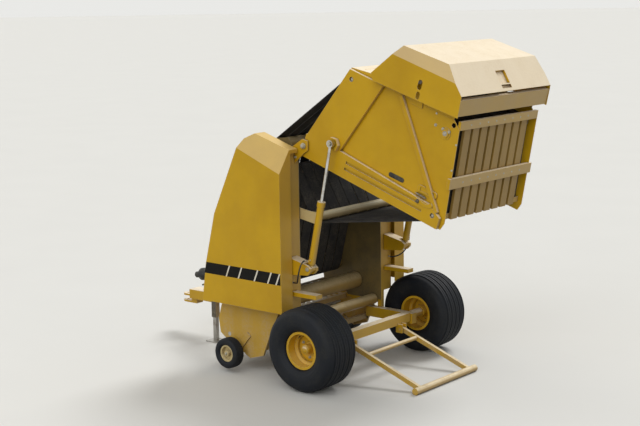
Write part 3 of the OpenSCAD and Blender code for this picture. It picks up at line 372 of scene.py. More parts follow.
def mouldedPlastic(name, colour, dustColour, rough, specular=0.5):
    material, tree, shader, place = startMaterial(name, Roughness=rough, Specular_IOR_Level=specular)
    dust = noiseAt(tree, place, plasticLook["dustScale"], 5, 0.7)
    dust = addNode(tree, "MapRange", dust, *plasticLook["dusty"])
    baseColour(tree, shader, dust, colour, dustColour)
    addBump(tree, shader, noiseAt(tree, place, plasticLook["fineScale"], 3), 0.15, plasticLook["grainDepth"])
    return material


# Knitted polyethylene net rolled tight: white with rings of lengthwise threads, with painted shade in grey
# between them.
# They are drawn 11 mm apart, coarser than the real ones, to show.
netLook = {"thread": "#F0F0EC", "gap": "#C9CCC6", "ringScale": 28, "rings": (0.2, 0.8), "rough": 0.8,
           "threadDepth": 0.002}


def knittedNet(name):
    material, tree, shader, place = startMaterial(name, Roughness=netLook["rough"])
    rings = addNode(tree, "TexWave", place.outputs["Object"], Scale=netLook["ringScale"], Distortion=1.2,
                    bands_direction="Y").outputs["Fac"]
    gaps = addNode(tree, "MapRange", rings, *netLook["rings"])
    baseColour(tree, shader, gaps, netLook["thread"], netLook["gap"])
    addBump(tree, shader, rings, 0.5, netLook["threadDepth"])
    return material


machineYellow = ("#D6A914", "#C89B12")
# The third colour of each enamel is its painted highlight on faces that point up; the shields and the rims
# get less of it, so the shields' enamel is a shaded copy of the yellow
looks = {
    "yellow": enamelPaint("satinEnamelYellow", *machineYellow, "#F8EBD4", "#BFA063", 0.1),
    "frame": enamelPaint("frameEnamelYellow", *machineYellow, "#F8EBD4", "#BFA063", 0.1, thrown=0.35),
    "shield": enamelPaint("shadedEnamelYellow", *machineYellow, "#EED9AC", "#BFA063", 0.1,
                          paintedHighlightAmount=0.36, thrown=0.2),
    "rim": enamelPaint("wheelEnamelYellow", "#DDAE12", "#CE9E10", "#EFD48A", "#BFA063", 0.1,
                       paintedHighlightAmount=0.25, thrown=0),
    "field": enamelPaint("fieldWornEnamelYellow", "#D2A62A", "#C69D34", "#EBDCBB", "#C7AE86", 0.5, "#E3CFA0"),
    "dusty": enamelPaint("dustedEnamelTan", "#AE8C46", "#9C7C3E", "#CDB88C", "#94815D", 0.75, thrown=0.1),
    "wall": enamelPaint("scouredEnamelWall", "#8F7A48", "#6A5D3E", "#A8946A", "#5A5344", 0.9, "#9A8A62"),
    "cream": enamelPaint("fadedEnamelCream", "#DCC994", "#CDB67C", "#EBDDB8", "#B7A67E", 0.35),
    "grey": enamelPaint("greyEnamelCasting", "#55534E", "#45433F", "#77736A", "#8A7D62", 0.5, "#8C887C"),
    "steel": rolledSteel("rolledSteel", "#A7A49D", "#6B4A30", 0.16),
    "polished": rolledSteel("polishedTineSteel", "#B4B2AC", "#6E5238", 0.1),
    "chrome": chromedRod("hardChrome"),
    "belt": beltRubber("wovenBeltRubber"),
    "tyre": tyreRubber("mouldedTyreRubber"),
    "plastic": mouldedPlastic("polyethyleneGuard", "#191A1B", "#5A5446", 0.55),
    "net": knittedNet("knittedNet"),
    "zinc": rolledSteel("zincPlatedSteel", "#B9B5A6", "#8A7A55", 0.12),
    "hose": mouldedPlastic("wrappedHoseRubber", "#141416", "#4A453A", 0.5),
    "black": mouldedPlastic("blackStripeFilm", "#100E0C", "#221E18", 0.5, 0.12),
    "pale": mouldedPlastic("paleStripeFilm", "#EDE6D4", "#CDBE98", 0.5, 0.2),
}
nodeLooks = {
    "yellow": ["gate_sides", "gate_beams", "gate_bars", "gate_top_plate", "rear_cover"],
    "frame": ["main_frame", "cross_members", "axle", "drawbar", "cylinder_brackets", "barrel_left",
              "barrel_right"],
    "shield": ["shield_left", "shield_right"],
    "rim": ["rim_left", "rim_right"],
    "field": ["pickup_sides", "pickup_frame", "pickup_bands", "bale_ramp"],
    "dusty": ["gate_slats", "front_rollers"],
    "wall": ["chamber_walls"],
    "cream": ["tension_arm", "gauge_rim_left", "gauge_rim_right"],
    "grey": ["gearbox", "jack_tube"],
    "steel": ["chain_drive", "gate_rollers", "jack_leg", "wind_guard"],
    "polished": ["tine_reel"],
    "chrome": ["rod_left", "rod_right"],
    "hose": ["hoses"],
    "belt": ["belts_front", "belts_upper", "belts_lower", "belts_gate"],
    "tyre": ["tyre_left", "tyre_right", "gauge_tyre_left", "gauge_tyre_right"],
    "plastic": ["driveline"],
    "net": ["net_roll"],
}
for look, names in nodeLooks.items():
    for name in names:
        nodes[name].data.materials.clear()
        nodes[name].data.materials.append(looks[look])
missing = [n for n in nodes if n not in sum(nodeLooks.values(), [])]
print("materials made; nodes without a look:", missing)


# Floor and light: each sun is its name, the direction it comes from, its angle in degrees and its strength
studio = {"floor": "#D5D4D0", "floorPatches": "#D9D8D4", "patchScale": 0.6, "floorSize": 400,
          "bounce": "#8F8E8A", "sky": "#F4F4F1", "seenSky": 0.905, "horizon": 0.2, "overhead": 0.62,
          "overheadFrom": 0.75, "sunsAway": 12,
          "suns": [("keySun", (-0.10, -0.60, 0.80), 24, 1.70), ("fillSun", (-0.30, 0.85, 0.43), 70, 1.2),
                   ("frontSun", (0.85, -0.20, 0.45), 70, 0.5)]}


def seenRays(tree):
    # 1 for what the camera sees, itself, mirrored or through a clear piece, and 0 for what only gives light
    rays = addNode(tree, "LightPath").outputs
    seen = addNode(tree, "Math", rays["Is Camera Ray"], rays["Is Glossy Ray"], operation="MAXIMUM")
    return addNode(tree, "Math", seen, rays["Is Transmission Ray"], operation="MAXIMUM")


def addFloor(setup):
    # Pale to the camera and in reflections, duller as a source of light from below
    bpy.ops.mesh.primitive_plane_add(size=setup["floorSize"])
    floor = bpy.context.object
    floor.name = "studioFloor"
    material, tree, shader, place = startMaterial("paleFloor", Roughness=1.0, Specular_IOR_Level=0.1)
    tone = noiseAt(tree, place, setup["patchScale"], 3)
    pale = addNode(tree, "Mix", tone, setup["floor"], setup["floorPatches"], data_type="RGBA")
    baseColour(tree, shader, seenRays(tree), setup["bounce"], pale)
    floor.data.materials.append(material)


def addSuns(setup):
    for name, towards, softness, power in setup["suns"]:
        bpy.ops.object.light_add(type="SUN", location=Vector(towards) * setup["sunsAway"])
        sun = bpy.context.object
        sun.name = name
        sun.data.angle = math.radians(softness)
        sun.data.energy = power
        sun.rotation_euler = (-Vector(towards)).to_track_quat("-Z", "Y").to_euler()


def addSky(setup):
    # Lights from overhead more than from the horizon; camera and reflections see one even tone
    world = bpy.data.worlds.new("studioSky")
    world.use_nodes = True
    bpy.context.scene.world = world
    tree = world.node_tree
    background = tree.nodes["Background"]
    feed(tree, background.inputs["Color"], setup["sky"])
    direction = addNode(tree, "TexCoord").outputs["Generated"]
    upward = addNode(tree, "SeparateXYZ", direction).outputs["Z"]
    steep = addNode(tree, "Math", upward, operation="ABSOLUTE")
    lighting = addNode(tree, "MapRange", steep, 0, setup["overheadFrom"], setup["horizon"], setup["overhead"])
    seen = seenRays(tree)
    unseen = addNode(tree, "Math", 1, seen, operation="SUBTRACT")
    unseen = addNode(tree, "Math", lighting, unseen, operation="MULTIPLY")
    seen = addNode(tree, "Math", seen, setup["seenSky"], operation="MULTIPLY")
    feed(tree, background.inputs["Strength"], addNode(tree, "Math", unseen, seen, operation="ADD"))


addFloor(studio)
addSuns(studio)
addSky(studio)
bpy.context.scene.view_settings.view_transform = "Standard"
print("studio built")


# Belts between the front frame and the tailgate: copies with their long spans cut into short lengths
beltRuns = {"runs": {"belts_upper": "upper_belt_run", "belts_lower": "lower_belt_run"},
            "cuts": 30, "longEdge": 0.8, "mergeReach": 0.00005}


def mergedCopy(nodeName, name):
    # A free copy of a node's mesh, its corners merged and its flat faces made of quads
    piece = nodes[nodeName].copy()
    piece.data = nodes[nodeName].data.copy()
    for key in list(piece.keys()):
        if key.startswith("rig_"):
            del piece[key]
    piece.parent = None
    piece.name = name
    bpy.context.scene.collection.objects.link(piece)
    selectOnly(piece)
    bpy.ops.object.mode_set(mode="EDIT")
    bpy.ops.mesh.select_all(action="SELECT")
    bpy.ops.mesh.remove_doubles(threshold=beltRuns["mergeReach"])
    bpy.ops.mesh.tris_convert_to_quads()
    bpy.ops.object.mode_set(mode="OBJECT")
    return piece


for nodeName, name in beltRuns["runs"].items():
    piece = mergedCopy(nodeName, name)
    corners = [v.co.copy() for v in piece.data.vertices]
    rear = min(corners, key=lambda c: c.x)  # on the tailgate's roller
    front = max(corners, key=lambda c: c.x)  # on the frame's roller
    longest = (front - rear).length
    pickEdges(piece, lambda a, b: (a - b).length > longest * beltRuns["longEdge"])
    bpy.ops.mesh.subdivide(number_cuts=beltRuns["cuts"])
    bpy.ops.object.mode_set(mode="OBJECT")
    piece.data.materials.clear()
    piece.data.materials.append(looks["belt"])
    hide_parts(nodeName)
    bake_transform(piece)
print("belts made")


# Stripes along the shields' lower part: a band of black film with pale slashes across it. Slashes are given
# by their middle's x, the band's ends by their x at its lower and upper edge.
stripes = {"low": 1.20, "high": 1.34, "thick": 0.0012,
           "frontEnd": (1.6525, 1.6175), "rearEnd": (0.398, 0.398),
           "slashes": [1.253, 1.052, 0.790, 0.573, 0.440], "slashHalf": 0.011, "slant": 0.060}
axlePlace = (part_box("tyre_left")[0].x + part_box("tyre_left")[1].x) / 2
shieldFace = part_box("shield_left")[1].y


def bandEdges(setup):
    # Cuts across the band, front to rear
    edges = [setup["frontEnd"]]
    for middle in setup["slashes"]:
        for x in (middle + setup["slashHalf"], middle - setup["slashHalf"]):
            edges.append((x + setup["slant"] / 2, x - setup["slant"] / 2))
    return edges + [setup["rearEnd"]]


def stripeSet(name, side, body, blocks, look):
    # blocks are (front cut, rear cut) of each piece of film
    made = []
    middle = (stripes["low"] + stripes["high"]) / 2
    for front, rear in blocks:
        bpy.ops.mesh.primitive_plane_add(size=1, location=(0, side * shieldFace, middle),
                                         rotation=(math.radians(90), 0, 0))
        block = bpy.context.object
        block.scale.y = stripes["high"] - stripes["low"]
        applyPlace(block)
        for vertex in block.data.vertices:
            edge = front if vertex.co.x > 0 else rear
            vertex.co.x = edge[1 if vertex.co.z > middle else 0] + axlePlace
        made.append(block)
    film = joinPieces(made, name)
    thicken = film.modifiers.new("filmThickness", "SOLIDIFY")
    thicken.thickness = stripes["thick"]
    thicken.offset = 0
    applyModifier(film, thicken)
    handOver(settle(film), body, looks[look])


cuts = bandEdges(stripes)
blackBlocks = list(zip(cuts[::2], cuts[1::2]))
paleBlocks = list(zip(cuts[1::2], cuts[2::2]))
for side, y in leftRight:
    stripeSet("stripe_" + side, y, "door_" + side, blackBlocks, "black")
    stripeSet("stripe_slashes_" + side, y, "door_" + side, paleBlocks, "pale")
print("stripes made")


# Places: x forwards from the axle, y to the left, z up. On the tailgate they are given as it lies closed,
# and turned with it to its raised rest.
tailgateHinge = {"x": 0.300, "z": 2.830, "open": math.radians(70.5)}


def spot(x, y, z):
    return Vector((x + axlePlace, y, z))


def gateWay(dx, dz):
    # A direction on the tailgate
    turn = tailgateHinge["open"]
    return Vector((dx * math.cos(turn) + dz * math.sin(turn), 0, dz * math.cos(turn) - dx * math.sin(turn)))


def gateSpot(x, y, z):
    hingeX, hingeZ = tailgateHinge["x"], tailgateHinge["z"]
    return spot(hingeX, y, hingeZ) + gateWay(x - hingeX, z - hingeZ)


def lineOf(start, end):
    # A line between two (x, z) points: its direction's x and z, and its length
    alongX, alongZ = end[0] - start[0], end[1] - start[1]
    length = math.hypot(alongX, alongZ)
    return alongX / length, alongZ / length, length


def ringOf(x, z, y, radius, count, start):
    turns = [start + 2 * math.pi * k / count for k in range(count)]
    return [spot(x + radius * math.cos(turn), y, z + radius * math.sin(turn)) for turn in turns]


def bothSides(points):
    # Points on the left side and their mirror images, each facing outwards
    return [(Vector((p.x, side * p.y, p.z)), (0, side, 0)) for p in points for side in (1, -1)]


def smoothPath(points, perSpan):
    # Catmull-Rom curve through the points
    points = [Vector(p) for p in points]
    ends = [2 * points[0] - points[1]] + points + [2 * points[-1] - points[-2]]
    path = []
    for a, b, c, d in zip(ends, ends[1:], ends[2:], ends[3:]):
        for k in range(perSpan):
            t = k / perSpan
            curve = (2 * a - 5 * b + 4 * c - d) * t ** 2 + (3 * b - a - 3 * c + d) * t ** 3
            path.append(0.5 * (2 * b + (c - a) * t + curve))
    return path + [points[-1]]


# Forms: each stands on the xy plane and looks along z, until spread sets its copies on the machine. The
# measures in a shape are shares of one size.
boltShape = {"washer": 1.15, "washerTop": 0.16, "head": 0.95, "headFrom": 0.15, "headTop": 0.8,
             "stud": 0.5, "studFrom": 0.7, "rounding": 0.07}
copyTurn = 0.7  # each copy is turned on from the last, in radians


def tube(radius, low, high, sides=24):
    # An upright cylinder between two heights
    bpy.ops.mesh.primitive_cylinder_add(vertices=sides, radius=radius, depth=high - low,
                                        location=(0, 0, (low + high) / 2))
    return bpy.context.object


def ringPart(radius, wire, around, across, place, turn=(0, 0, 0)):
    bpy.ops.mesh.primitive_torus_add(major_radius=radius, minor_radius=wire, major_segments=around,
                                     minor_segments=across, location=place, rotation=turn)
    return bpy.context.object


def dome(radius, flatness, segments, place=(0, 0, 0)):
    bpy.ops.mesh.primitive_uv_sphere_add(segments=segments, ring_count=segments // 2, radius=radius,
                                         location=place)
    bpy.context.object.scale.z = flatness
    return bpy.context.object


def measures(shape, size):
    return {key: share * size for key, share in shape.items()}


def roundedForm(parts, name, rounding, segments=1):
    form = joinPieces(parts, name)
    applyPlace(form)
    bevelAll(form, rounding, segments)
    return form


def boltForm(size, stud=0.0, domed=False):
    # A fastener: washer, head or nut, and the end of its stud
    s = measures(boltShape, size)
    parts = [tube(s["washer"], 0, s["washerTop"])]
    if domed:
        parts.append(dome(s["head"], 0.5, 20))
    else:
        parts.append(tube(s["head"], s["headFrom"], s["headTop"], 6))
    if stud > 0:
        parts.append(tube(s["stud"], s["studFrom"], s["headTop"] + stud, 14))
    return roundedForm(parts, "fastener", s["rounding"])


def spread(form, name, places, body, look="zinc"):
    # Copies of one form: places are (point, outward direction)
    made = []
    for count, (point, outward) in enumerate(places):
        copy = form.copy()
        copy.data = form.data.copy()
        bpy.context.scene.collection.objects.link(copy)
        facing = Vector(outward).to_track_quat("Z", "Y").to_matrix().to_4x4()
        copy.matrix_world = Matrix.Translation(point) @ facing @ Matrix.Rotation(count * copyTurn, 4, "Z")
        made.append(copy)
    bpy.data.objects.remove(form)
    handOver(settle(joinPieces(made, name)), body, looks[look])


def boltSides(bolts, placing, body):
    # Bolts on both sides; placing turns x, y and z into a place
    for name, bolt in bolts.items():
        places = bothSides([placing(*place) for place in bolt["at"]])
        spread(boltForm(bolt["size"], bolt["stud"]), name, places, body)


def sweptTube(name, path, radius, sides=16):
    curve = bpy.data.curves.new(name, "CURVE")
    curve.dimensions = "3D"
    curve.bevel_depth = radius
    curve.bevel_resolution = sides // 4
    curve.use_fill_caps = True
    spline = curve.splines.new("POLY")
    spline.points.add(len(path) - 1)
    for point, place in zip(spline.points, path):
        point.co = (*place, 1)
    piece = bpy.data.objects.new(name, curve)
    bpy.context.scene.collection.objects.link(piece)
    selectOnly(piece)
    bpy.ops.object.convert(target="MESH")
    return settle(bpy.context.object)


def drawOutline(name, points):
    # Edges drawn by extruding a point; leaves edit mode on with all of them selected
    bpy.ops.mesh.primitive_plane_add(size=0.01, location=points[0])
    piece = bpy.context.object
    piece.name = name
    applyPlace(piece)
    bpy.ops.object.mode_set(mode="EDIT")
    bpy.ops.mesh.select_mode(type="VERT")
    bpy.ops.mesh.select_all(action="SELECT")
    bpy.ops.mesh.merge(type="CENTER")
    for start, end in zip(points, points[1:]):
        bpy.ops.mesh.extrude_region_move(TRANSFORM_OT_translate={"value": end - start})
    bpy.ops.mesh.select_all(action="SELECT")
    return piece


# Fasteners of the front frame: (x, z) of its bearings, places of the bolts and nuts on its sides, and (y, z)
# of the bolts that face forwards
frameBolts = {"bearings": [(0.780, 2.790), (0.660, 2.500), (1.210, 1.080), (0.860, 0.860), (0.570, 0.640)],
              "bearingFace": 0.822, "bearingRing": 0.046, "bearingBolt": 0.0105}
sideBolts = {"frame_bolts": {"at": [(0.430, 0.866, 2.690), (0.430, 0.866, 2.770), (-0.072, 0.816, 0.448),
                                    (-0.072, 0.816, 0.524), (0.072, 0.816, 0.448), (0.072, 0.816, 0.524)],
                             "size": 0.016, "stud": 0.008},
             "hinge_nuts": {"at": [(0.300, 0.874, 2.830)], "size": 0.030, "stud": 0.010},
             "pickup_pivot_nuts": {"at": [(0.760, 0.854, 0.700)], "size": 0.022, "stud": 0.006}}
forwardBolts = {"drawbar_bolts": {"at": [(0.34, 1.135), (0.34, 1.225), (0.43, 1.135), (0.43, 1.225)],
                                  "face": 1.564, "size": 0.014, "stud": 0.006},
                "gearbox_bolts": {"at": [(0.085, 0.955), (0.085, 1.085)],
                                  "face": 1.690, "size": 0.010, "stud": 0.006}}
places = []
for x, z in frameBolts["bearings"]:
    places += bothSides(ringOf(x, z, frameBolts["bearingFace"], frameBolts["bearingRing"], 4, math.pi / 4))
spread(boltForm(frameBolts["bearingBolt"]), "bearing_bolts", places, "root")
boltSides(sideBolts, spot, "root")
for name, bolt in forwardBolts.items():
    places = [(spot(bolt["face"], side * y, z), (1, 0, 0)) for y, z in bolt["at"] for side in (1, -1)]
    spread(boltForm(bolt["size"], bolt["stud"]), name, places, "root")
print("frame fasteners made")


# Cylinder pins, with a washer and a split pin at each end
cylinderPins = {"lower": (0.160, 1.390), "lowerFace": 1.000, "upperFace": 0.964, "eyeInset": 0.044,
                "size": 0.019}
pinShape = {"washer": 1.4, "washerTop": 0.2, "endFrom": 0.15, "endTop": 0.8, "eye": 0.5, "eyeWire": 0.1,
            "eyeOut": 1.1, "leg": 2.6, "legWire": 0.11, "middle": 0.5, "rounding": 0.06}


def splitPinEnd(size):
    s = measures(pinShape, size)
    parts = [tube(s["washer"], 0, s["washerTop"]), tube(size, s["endFrom"], s["endTop"])]
    parts.append(ringPart(s["eye"], s["eyeWire"], 20, 8, (s["eyeOut"], 0, s["middle"]), (math.pi / 2, 0, 0)))
    bpy.ops.mesh.primitive_cylinder_add(vertices=10, radius=s["legWire"], depth=s["leg"],
                                        location=(0, 0, s["middle"]), rotation=(0, math.pi / 2, 0))
    return roundedForm(parts + [bpy.context.object], "pinEnd", s["rounding"])


x, z = cylinderPins["lower"]
places = bothSides([spot(x, cylinderPins["lowerFace"], z)])
spread(splitPinEnd(cylinderPins["size"]), "lower_pin_ends", places, "root")
for side, y in leftRight:
    low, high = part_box("rod_" + side)
    inset = cylinderPins["eyeInset"]
    eye = Vector((low.x + inset, y * cylinderPins["upperFace"], high.z - inset))
    spread(splitPinEnd(cylinderPins["size"]), "upper_pin_end_" + side, [(eye, (0, y, 0))], "piston_" + side)
print("cylinder pins made")


# Fasteners on the tailgate's sides
gateBolts = {"gate_bearing_bolts": {"at": [(-0.638, 0.796, 1.211), (-0.636, 0.804, 1.103),
                                           (-0.635, 0.804, 1.017)], "size": 0.016, "stud": 0.006},
             "gate_edge_bolts": {"at": [(-0.535, 0.796, 0.890), (-0.250, 0.796, 0.852),
                                        (-0.762, 0.796, 1.240), (-0.762, 0.796, 1.520)],
                                 "size": 0.011, "stud": 0},
             "roller_end_nuts": {"at": [(0.310, 0.814, 0.900), (-0.600, 0.814, 1.060),
                                        (-0.690, 0.814, 2.430)], "size": 0.017, "stud": 0}}
# Bolts of the slats: bars are (share of the slats' length, distance out from them)
slatBolts = {"from": (0.330, 0.790), "to": (-0.690, 0.950), "count": 8, "pitch": 0.166, "size": 0.010,
             "bars": [(0.42, 0.0573), (1.045, 0.0513)]}
boltSides(gateBolts, gateSpot, "tailgate")
fromX, fromZ = slatBolts["from"]
alongX, alongZ, length = lineOf(slatBolts["from"], slatBolts["to"])
places = []
for share, out in slatBolts["bars"]:
    x = fromX + alongX * length * share - alongZ * out
    z = fromZ + alongZ * length * share + alongX * out
    for k in range(slatBolts["count"]):
        y = (k - (slatBolts["count"] - 1) / 2) * slatBolts["pitch"]
        places.append((gateSpot(x, y, z), gateWay(-alongZ, alongX)))
spread(boltForm(slatBolts["size"], domed=True), "slat_bolts", places, "tailgate")
print("tailgate fasteners made")


# Latch fittings low on the tailgate's side: a pivot nut, a spring and an oval window covered by a black pad,
# partly its dark seal and partly painted shade for its opening, each by its (x, z) points and the y of the
# face that it stands on
latch = {"nut": (0.232, 1.125), "nutFace": 0.852, "nutSize": 0.020, "nutStud": 0.008,
         "window": ((0.126, 1.620), (0.122, 1.400)), "windowFace": 0.796, "windowHalf": 0.026,
         "darkPadThick": 0.006, "spring": ((0.170, 1.215), (0.176, 1.040)), "springFace": 0.811, "coil": 0.012,
         "wire": 0.0022, "turns": 12, "perTurn": 14, "coilsFrom": 0.12, "coilsOver": 0.76}


def ovalDarkPad(name, start, end, side):
    # A flat black pad with round ends: partly a seal, partly painted shade in the window's opening
    half, thick = latch["windowHalf"], latch["darkPadThick"]
    alongX, alongZ, length = lineOf(start, end)
    bpy.ops.mesh.primitive_cube_add(size=1, location=(0, 0, thick / 2))
    pad = bpy.context.object
    pad.scale = (length, 2 * half, thick)
    applyPlace(pad)
    pickEdges(pad, lambda a, b: abs(a.z - b.z) > thick * 0.5)
    bpy.ops.mesh.bevel(offset=half * 0.98, segments=10, affect="EDGES")
    bpy.ops.object.mode_set(mode="OBJECT")
    bevelAll(pad, thick * 0.3)
    along, outward = gateWay(alongX, alongZ), Vector((0, side, 0))
    turn = Matrix((along, outward.cross(along), outward)).transposed().to_4x4()
    middle = gateSpot((start[0] + end[0]) / 2, side * latch["windowFace"], (start[1] + end[1]) / 2)
    pad.matrix_world = Matrix.Translation(middle) @ turn
    pad.name = name
    handOver(settle(pad), "tailgate", looks["plastic"])


def coilSpring(start, end, setup):
    # A tension spring between two points, its coils over the middle part of the way
    along = end - start
    turned = along.to_track_quat("Z", "Y").to_matrix()
    steps = setup["turns"] * setup["perTurn"]
    path = [start]
    for k in range(steps + 1):
        turn = 2 * math.pi * k / setup["perTurn"]
        coil = Vector((math.cos(turn), math.sin(turn), 0)) * setup["coil"]
        coil.z = along.length * (setup["coilsFrom"] + setup["coilsOver"] * k / steps)
        path.append(start + turned @ coil)
    return sweptTube("spring", path + [end], setup["wire"], 8)


places = bothSides([gateSpot(latch["nut"][0], latch["nutFace"], latch["nut"][1])])
spread(boltForm(latch["nutSize"], latch["nutStud"]), "latch_nuts", places, "tailgate", look="grey")
springs = []
for side, y in leftRight:
    ovalDarkPad("window_dark_pad_" + side, *latch["window"], y)
    springs.append(coilSpring(*[gateSpot(x, y * latch["springFace"], z) for x, z in latch["spring"]], latch))
handOver(joinPieces(springs, "latch_springs"), "tailgate", looks["steel"])
print("latch fittings made")


# Sheets under the rear cover: edge flanges of the tailgate's sides, and a stiffener behind the cover's grip.
# The stiffener lies along a line of (x, z) points, its depths are measured off that line.
edgeSheets = {"flange": [(-0.770, 1.006), (-0.836, 1.006), (-0.838, 1.900), (-0.850, 1.990), (-0.800, 2.000),
                         (-0.770, 1.940)],
              "flangeFaces": (0.7915, 0.7945)}
stiffener = {"from": (-1.340, 1.220), "to": (-1.085, 0.930), "along": (0.245, 0.372),
             "depths": (0.044, 0.047), "sides": (-0.270, 0.120)}


def sheetForm(name, outline, through):
    # Fills an outline and pulls it to its thickness
    piece = drawOutline(name, outline)
    bpy.ops.mesh.edge_face_add()
    bpy.ops.mesh.extrude_region_move(TRANSFORM_OT_translate={"value": through})
    bpy.ops.object.mode_set(mode="OBJECT")
    bevelAll(piece, through.length * 0.25, 1)
    return settle(piece)


inner, outer = edgeSheets["flangeFaces"]
made = []
for side, y in leftRight:
    outline = [gateSpot(x, y * inner, z) for x, z in edgeSheets["flange"]]
    made.append(sheetForm("edgeFlange", outline, Vector((0, y * (outer - inner), 0))))
handOver(joinPieces(made, "tailgate_edge_flanges"), "tailgate", looks["yellow"])
fromX, fromZ = stiffener["from"]
alongX, alongZ, length = lineOf(stiffener["from"], stiffener["to"])
near, far = stiffener["depths"]
outline = []
for end, edge in ((0, 0), (1, 0), (1, 1), (0, 1)):
    s = stiffener["along"][end]
    x, z = fromX + alongX * s - alongZ * near, fromZ + alongZ * s + alongX * near
    outline.append(gateSpot(x, stiffener["sides"][edge], z))
sheet = sheetForm("grip_stiffener", outline, gateWay(-alongZ, alongX) * (far - near))
handOver(sheet, "cover", looks["yellow"])
print("sheets under the cover made")


# Wheel nuts, hub caps and valves: faces are measured out from the wheel's middle, the valve from its centre
wheels = {"axle": 0.5, "middle": 1.127, "nutRing": 0.1112, "nuts": 6, "nutFace": 0.0335, "nutSize": 0.0165,
          "nutStud": 0.012, "capFace": 0.126, "capRadius": 0.049, "valve": (0.10, 0.10, 0.1345),
          "valveTilt": (-0.2, -0.35), "stem": [(0.0075, 0, 0.022, 16), (0.0045, 0.02, 0.046, 12)],
          "gaugeNut": (1.285, 1.2445, 0.235), "gaugeNutSize": 0.017, "gaugeNutStud": 0.006}
capShape = {"flangeTop": 0.16, "dome": 0.78, "domeFrom": 0.1, "plug": 0.14, "plugFrom": 0.3, "plugTop": 0.56,
            "rounding": 0.04}


def hubCap(radius):
    s = measures(capShape, radius)
    parts = [tube(radius, 0, s["flangeTop"], 40), dome(s["dome"], 0.42, 32, (0, 0, s["domeFrom"])),
             tube(s["plug"], s["plugFrom"], s["plugTop"], 12)]
    return roundedForm(parts, "hubCap", s["rounding"], 2)


for side, y in leftRight:
    body = "wheel_" + side
    nuts = ringOf(0, wheels["axle"], y * (wheels["middle"] + wheels["nutFace"]), wheels["nutRing"],
                  wheels["nuts"], math.pi / 6)
    places = [(p, (0, y, 0)) for p in nuts]
    spread(boltForm(wheels["nutSize"], wheels["nutStud"]), "wheel_nuts_" + side, places, body)
    places = [(spot(0, y * (wheels["middle"] + wheels["capFace"]), wheels["axle"]), (0, y, 0))]
    spread(hubCap(wheels["capRadius"]), "hub_cap_" + side, places, body, "yellow")
    valve = joinPieces([tube(*part) for part in wheels["stem"]], "valve")
    x, out, rise = wheels["valve"]
    root = spot(x, y * (wheels["middle"] + out), wheels["axle"] + rise)
    tilt = (wheels["valveTilt"][0], y, wheels["valveTilt"][1])
    spread(valve, "valve_stem_" + side, [(root, tilt)], body, "plastic")
    x, out, z = wheels["gaugeNut"]
    nut = boltForm(wheels["gaugeNutSize"], wheels["gaugeNutStud"])
    spread(nut, "gauge_nut_" + side, [(spot(x, y * out, z), (0, y, 0))], "pickup")
print("wheel fittings made")


# Tyres: one turned skin each, with rounded ribs on the tread and fine rings on the sidewalls
tyreForms = {
    "tyre": {"body": "wheel_", "centre": (0, 1.127, 0.5), "radius": 0.5, "half": 0.265, "bead": 0.2048,
             "seat": 0.188, "grooves": 5, "groovePitch": 0.0864, "depth": 0.016, "tread": 0.1908,
             "rings": (0.262, 0.300, 0.345, 0.430), "turns": 112},
    "gauge_tyre": {"body": "gauge_wheel_", "centre": (1.285, 1.190, 0.235), "radius": 0.19, "half": 0.075,
                   "bead": 0.0923, "seat": 0.044, "grooves": 3, "groovePitch": 0.030, "depth": 0.005,
                   "tread": 0.054, "rings": (0.118, 0.160), "turns": 72},
}
# Points of a tyre's wall and inside, as shares of its radius and half width. Near the bead they count from
# it and from the seat. Half a groove is in shares of its width and depth.
tyreShape = {"beadWall": [(0, 0), (0.052, 0), (0.08, 0.4)], "midWall": (0.35, 0.97), "perSpan": 9,
             "wall": [(0.78, 1.0), (0.88, 0.96), (0.945, 0.86), (0.985, 0.72)],
             "seatInside": 0.8, "inside": [(0.72, 0.84), (0.86, 0.72), (0.91, 0.5)],
             "groove": [(-1.3, 0.0), (-1.12, 0.12), (-0.8, 0.85), (-0.55, 1.0)],
             "wideGroove": 0.13, "fineGroove": 0.045, "fineDepth": 0.4, "crown": 0.008,
             "ringWidth": 0.008, "ringHeight": 0.004, "mergeReach": 0.00002}


def tyreProfile(form):
    # Closed outline of (radius, distance along y): left wall, tread, right wall and inside
    r, h, bead, seat = form["radius"], form["half"], form["bead"], form["seat"]
    wall = [(bead + out * r, seat + over * (h - seat)) for out, over in tyreShape["beadWall"]]
    wall.append((bead + tyreShape["midWall"][0] * (r - bead), h * tyreShape["midWall"][1]))
    wall = smoothPath(wall + [(r * x, h * y) for x, y in tyreShape["wall"]], tyreShape["perSpan"])
    side = []
    for p in wall:
        offs = [(p.x - ring) / (tyreShape["ringWidth"] * r) for ring in form["rings"]]
        lift = sum(math.exp(-off ** 2) for off in offs) * tyreShape["ringHeight"] * r
        side.append((p.x, min(p.y + lift, h)))
    tread = []
    grooveSides = tyreShape["groove"] + [(-out, down) for out, down in reversed(tyreShape["groove"])]
    for k in range(1, 2 * form["grooves"]):  # wide grooves and fine ones by turns
        wide = k % 2
        middle = (k - form["grooves"]) / 2 * form["groovePitch"]
        width = form["groovePitch"] * (tyreShape["wideGroove"] if wide else tyreShape["fineGroove"])
        depth = form["depth"] * (1 if wide else tyreShape["fineDepth"])
        for out, down in grooveSides:
            y = middle + out * width
            tread.append((r - tyreShape["crown"] * r * (y / form["tread"]) ** 2 - down * depth, y))
    inner = seat * tyreShape["seatInside"]
    inside = [(bead, inner), (bead + tyreShape["beadWall"][-1][0] * r, inner)]
    inside += [(r * x, h * y) for x, y in tyreShape["inside"]]
    return ([(x, -y) for x, y in side] + tread + [(x, y) for x, y in reversed(side)] + inside +
            [(x, -y) for x, y in reversed(inside)])


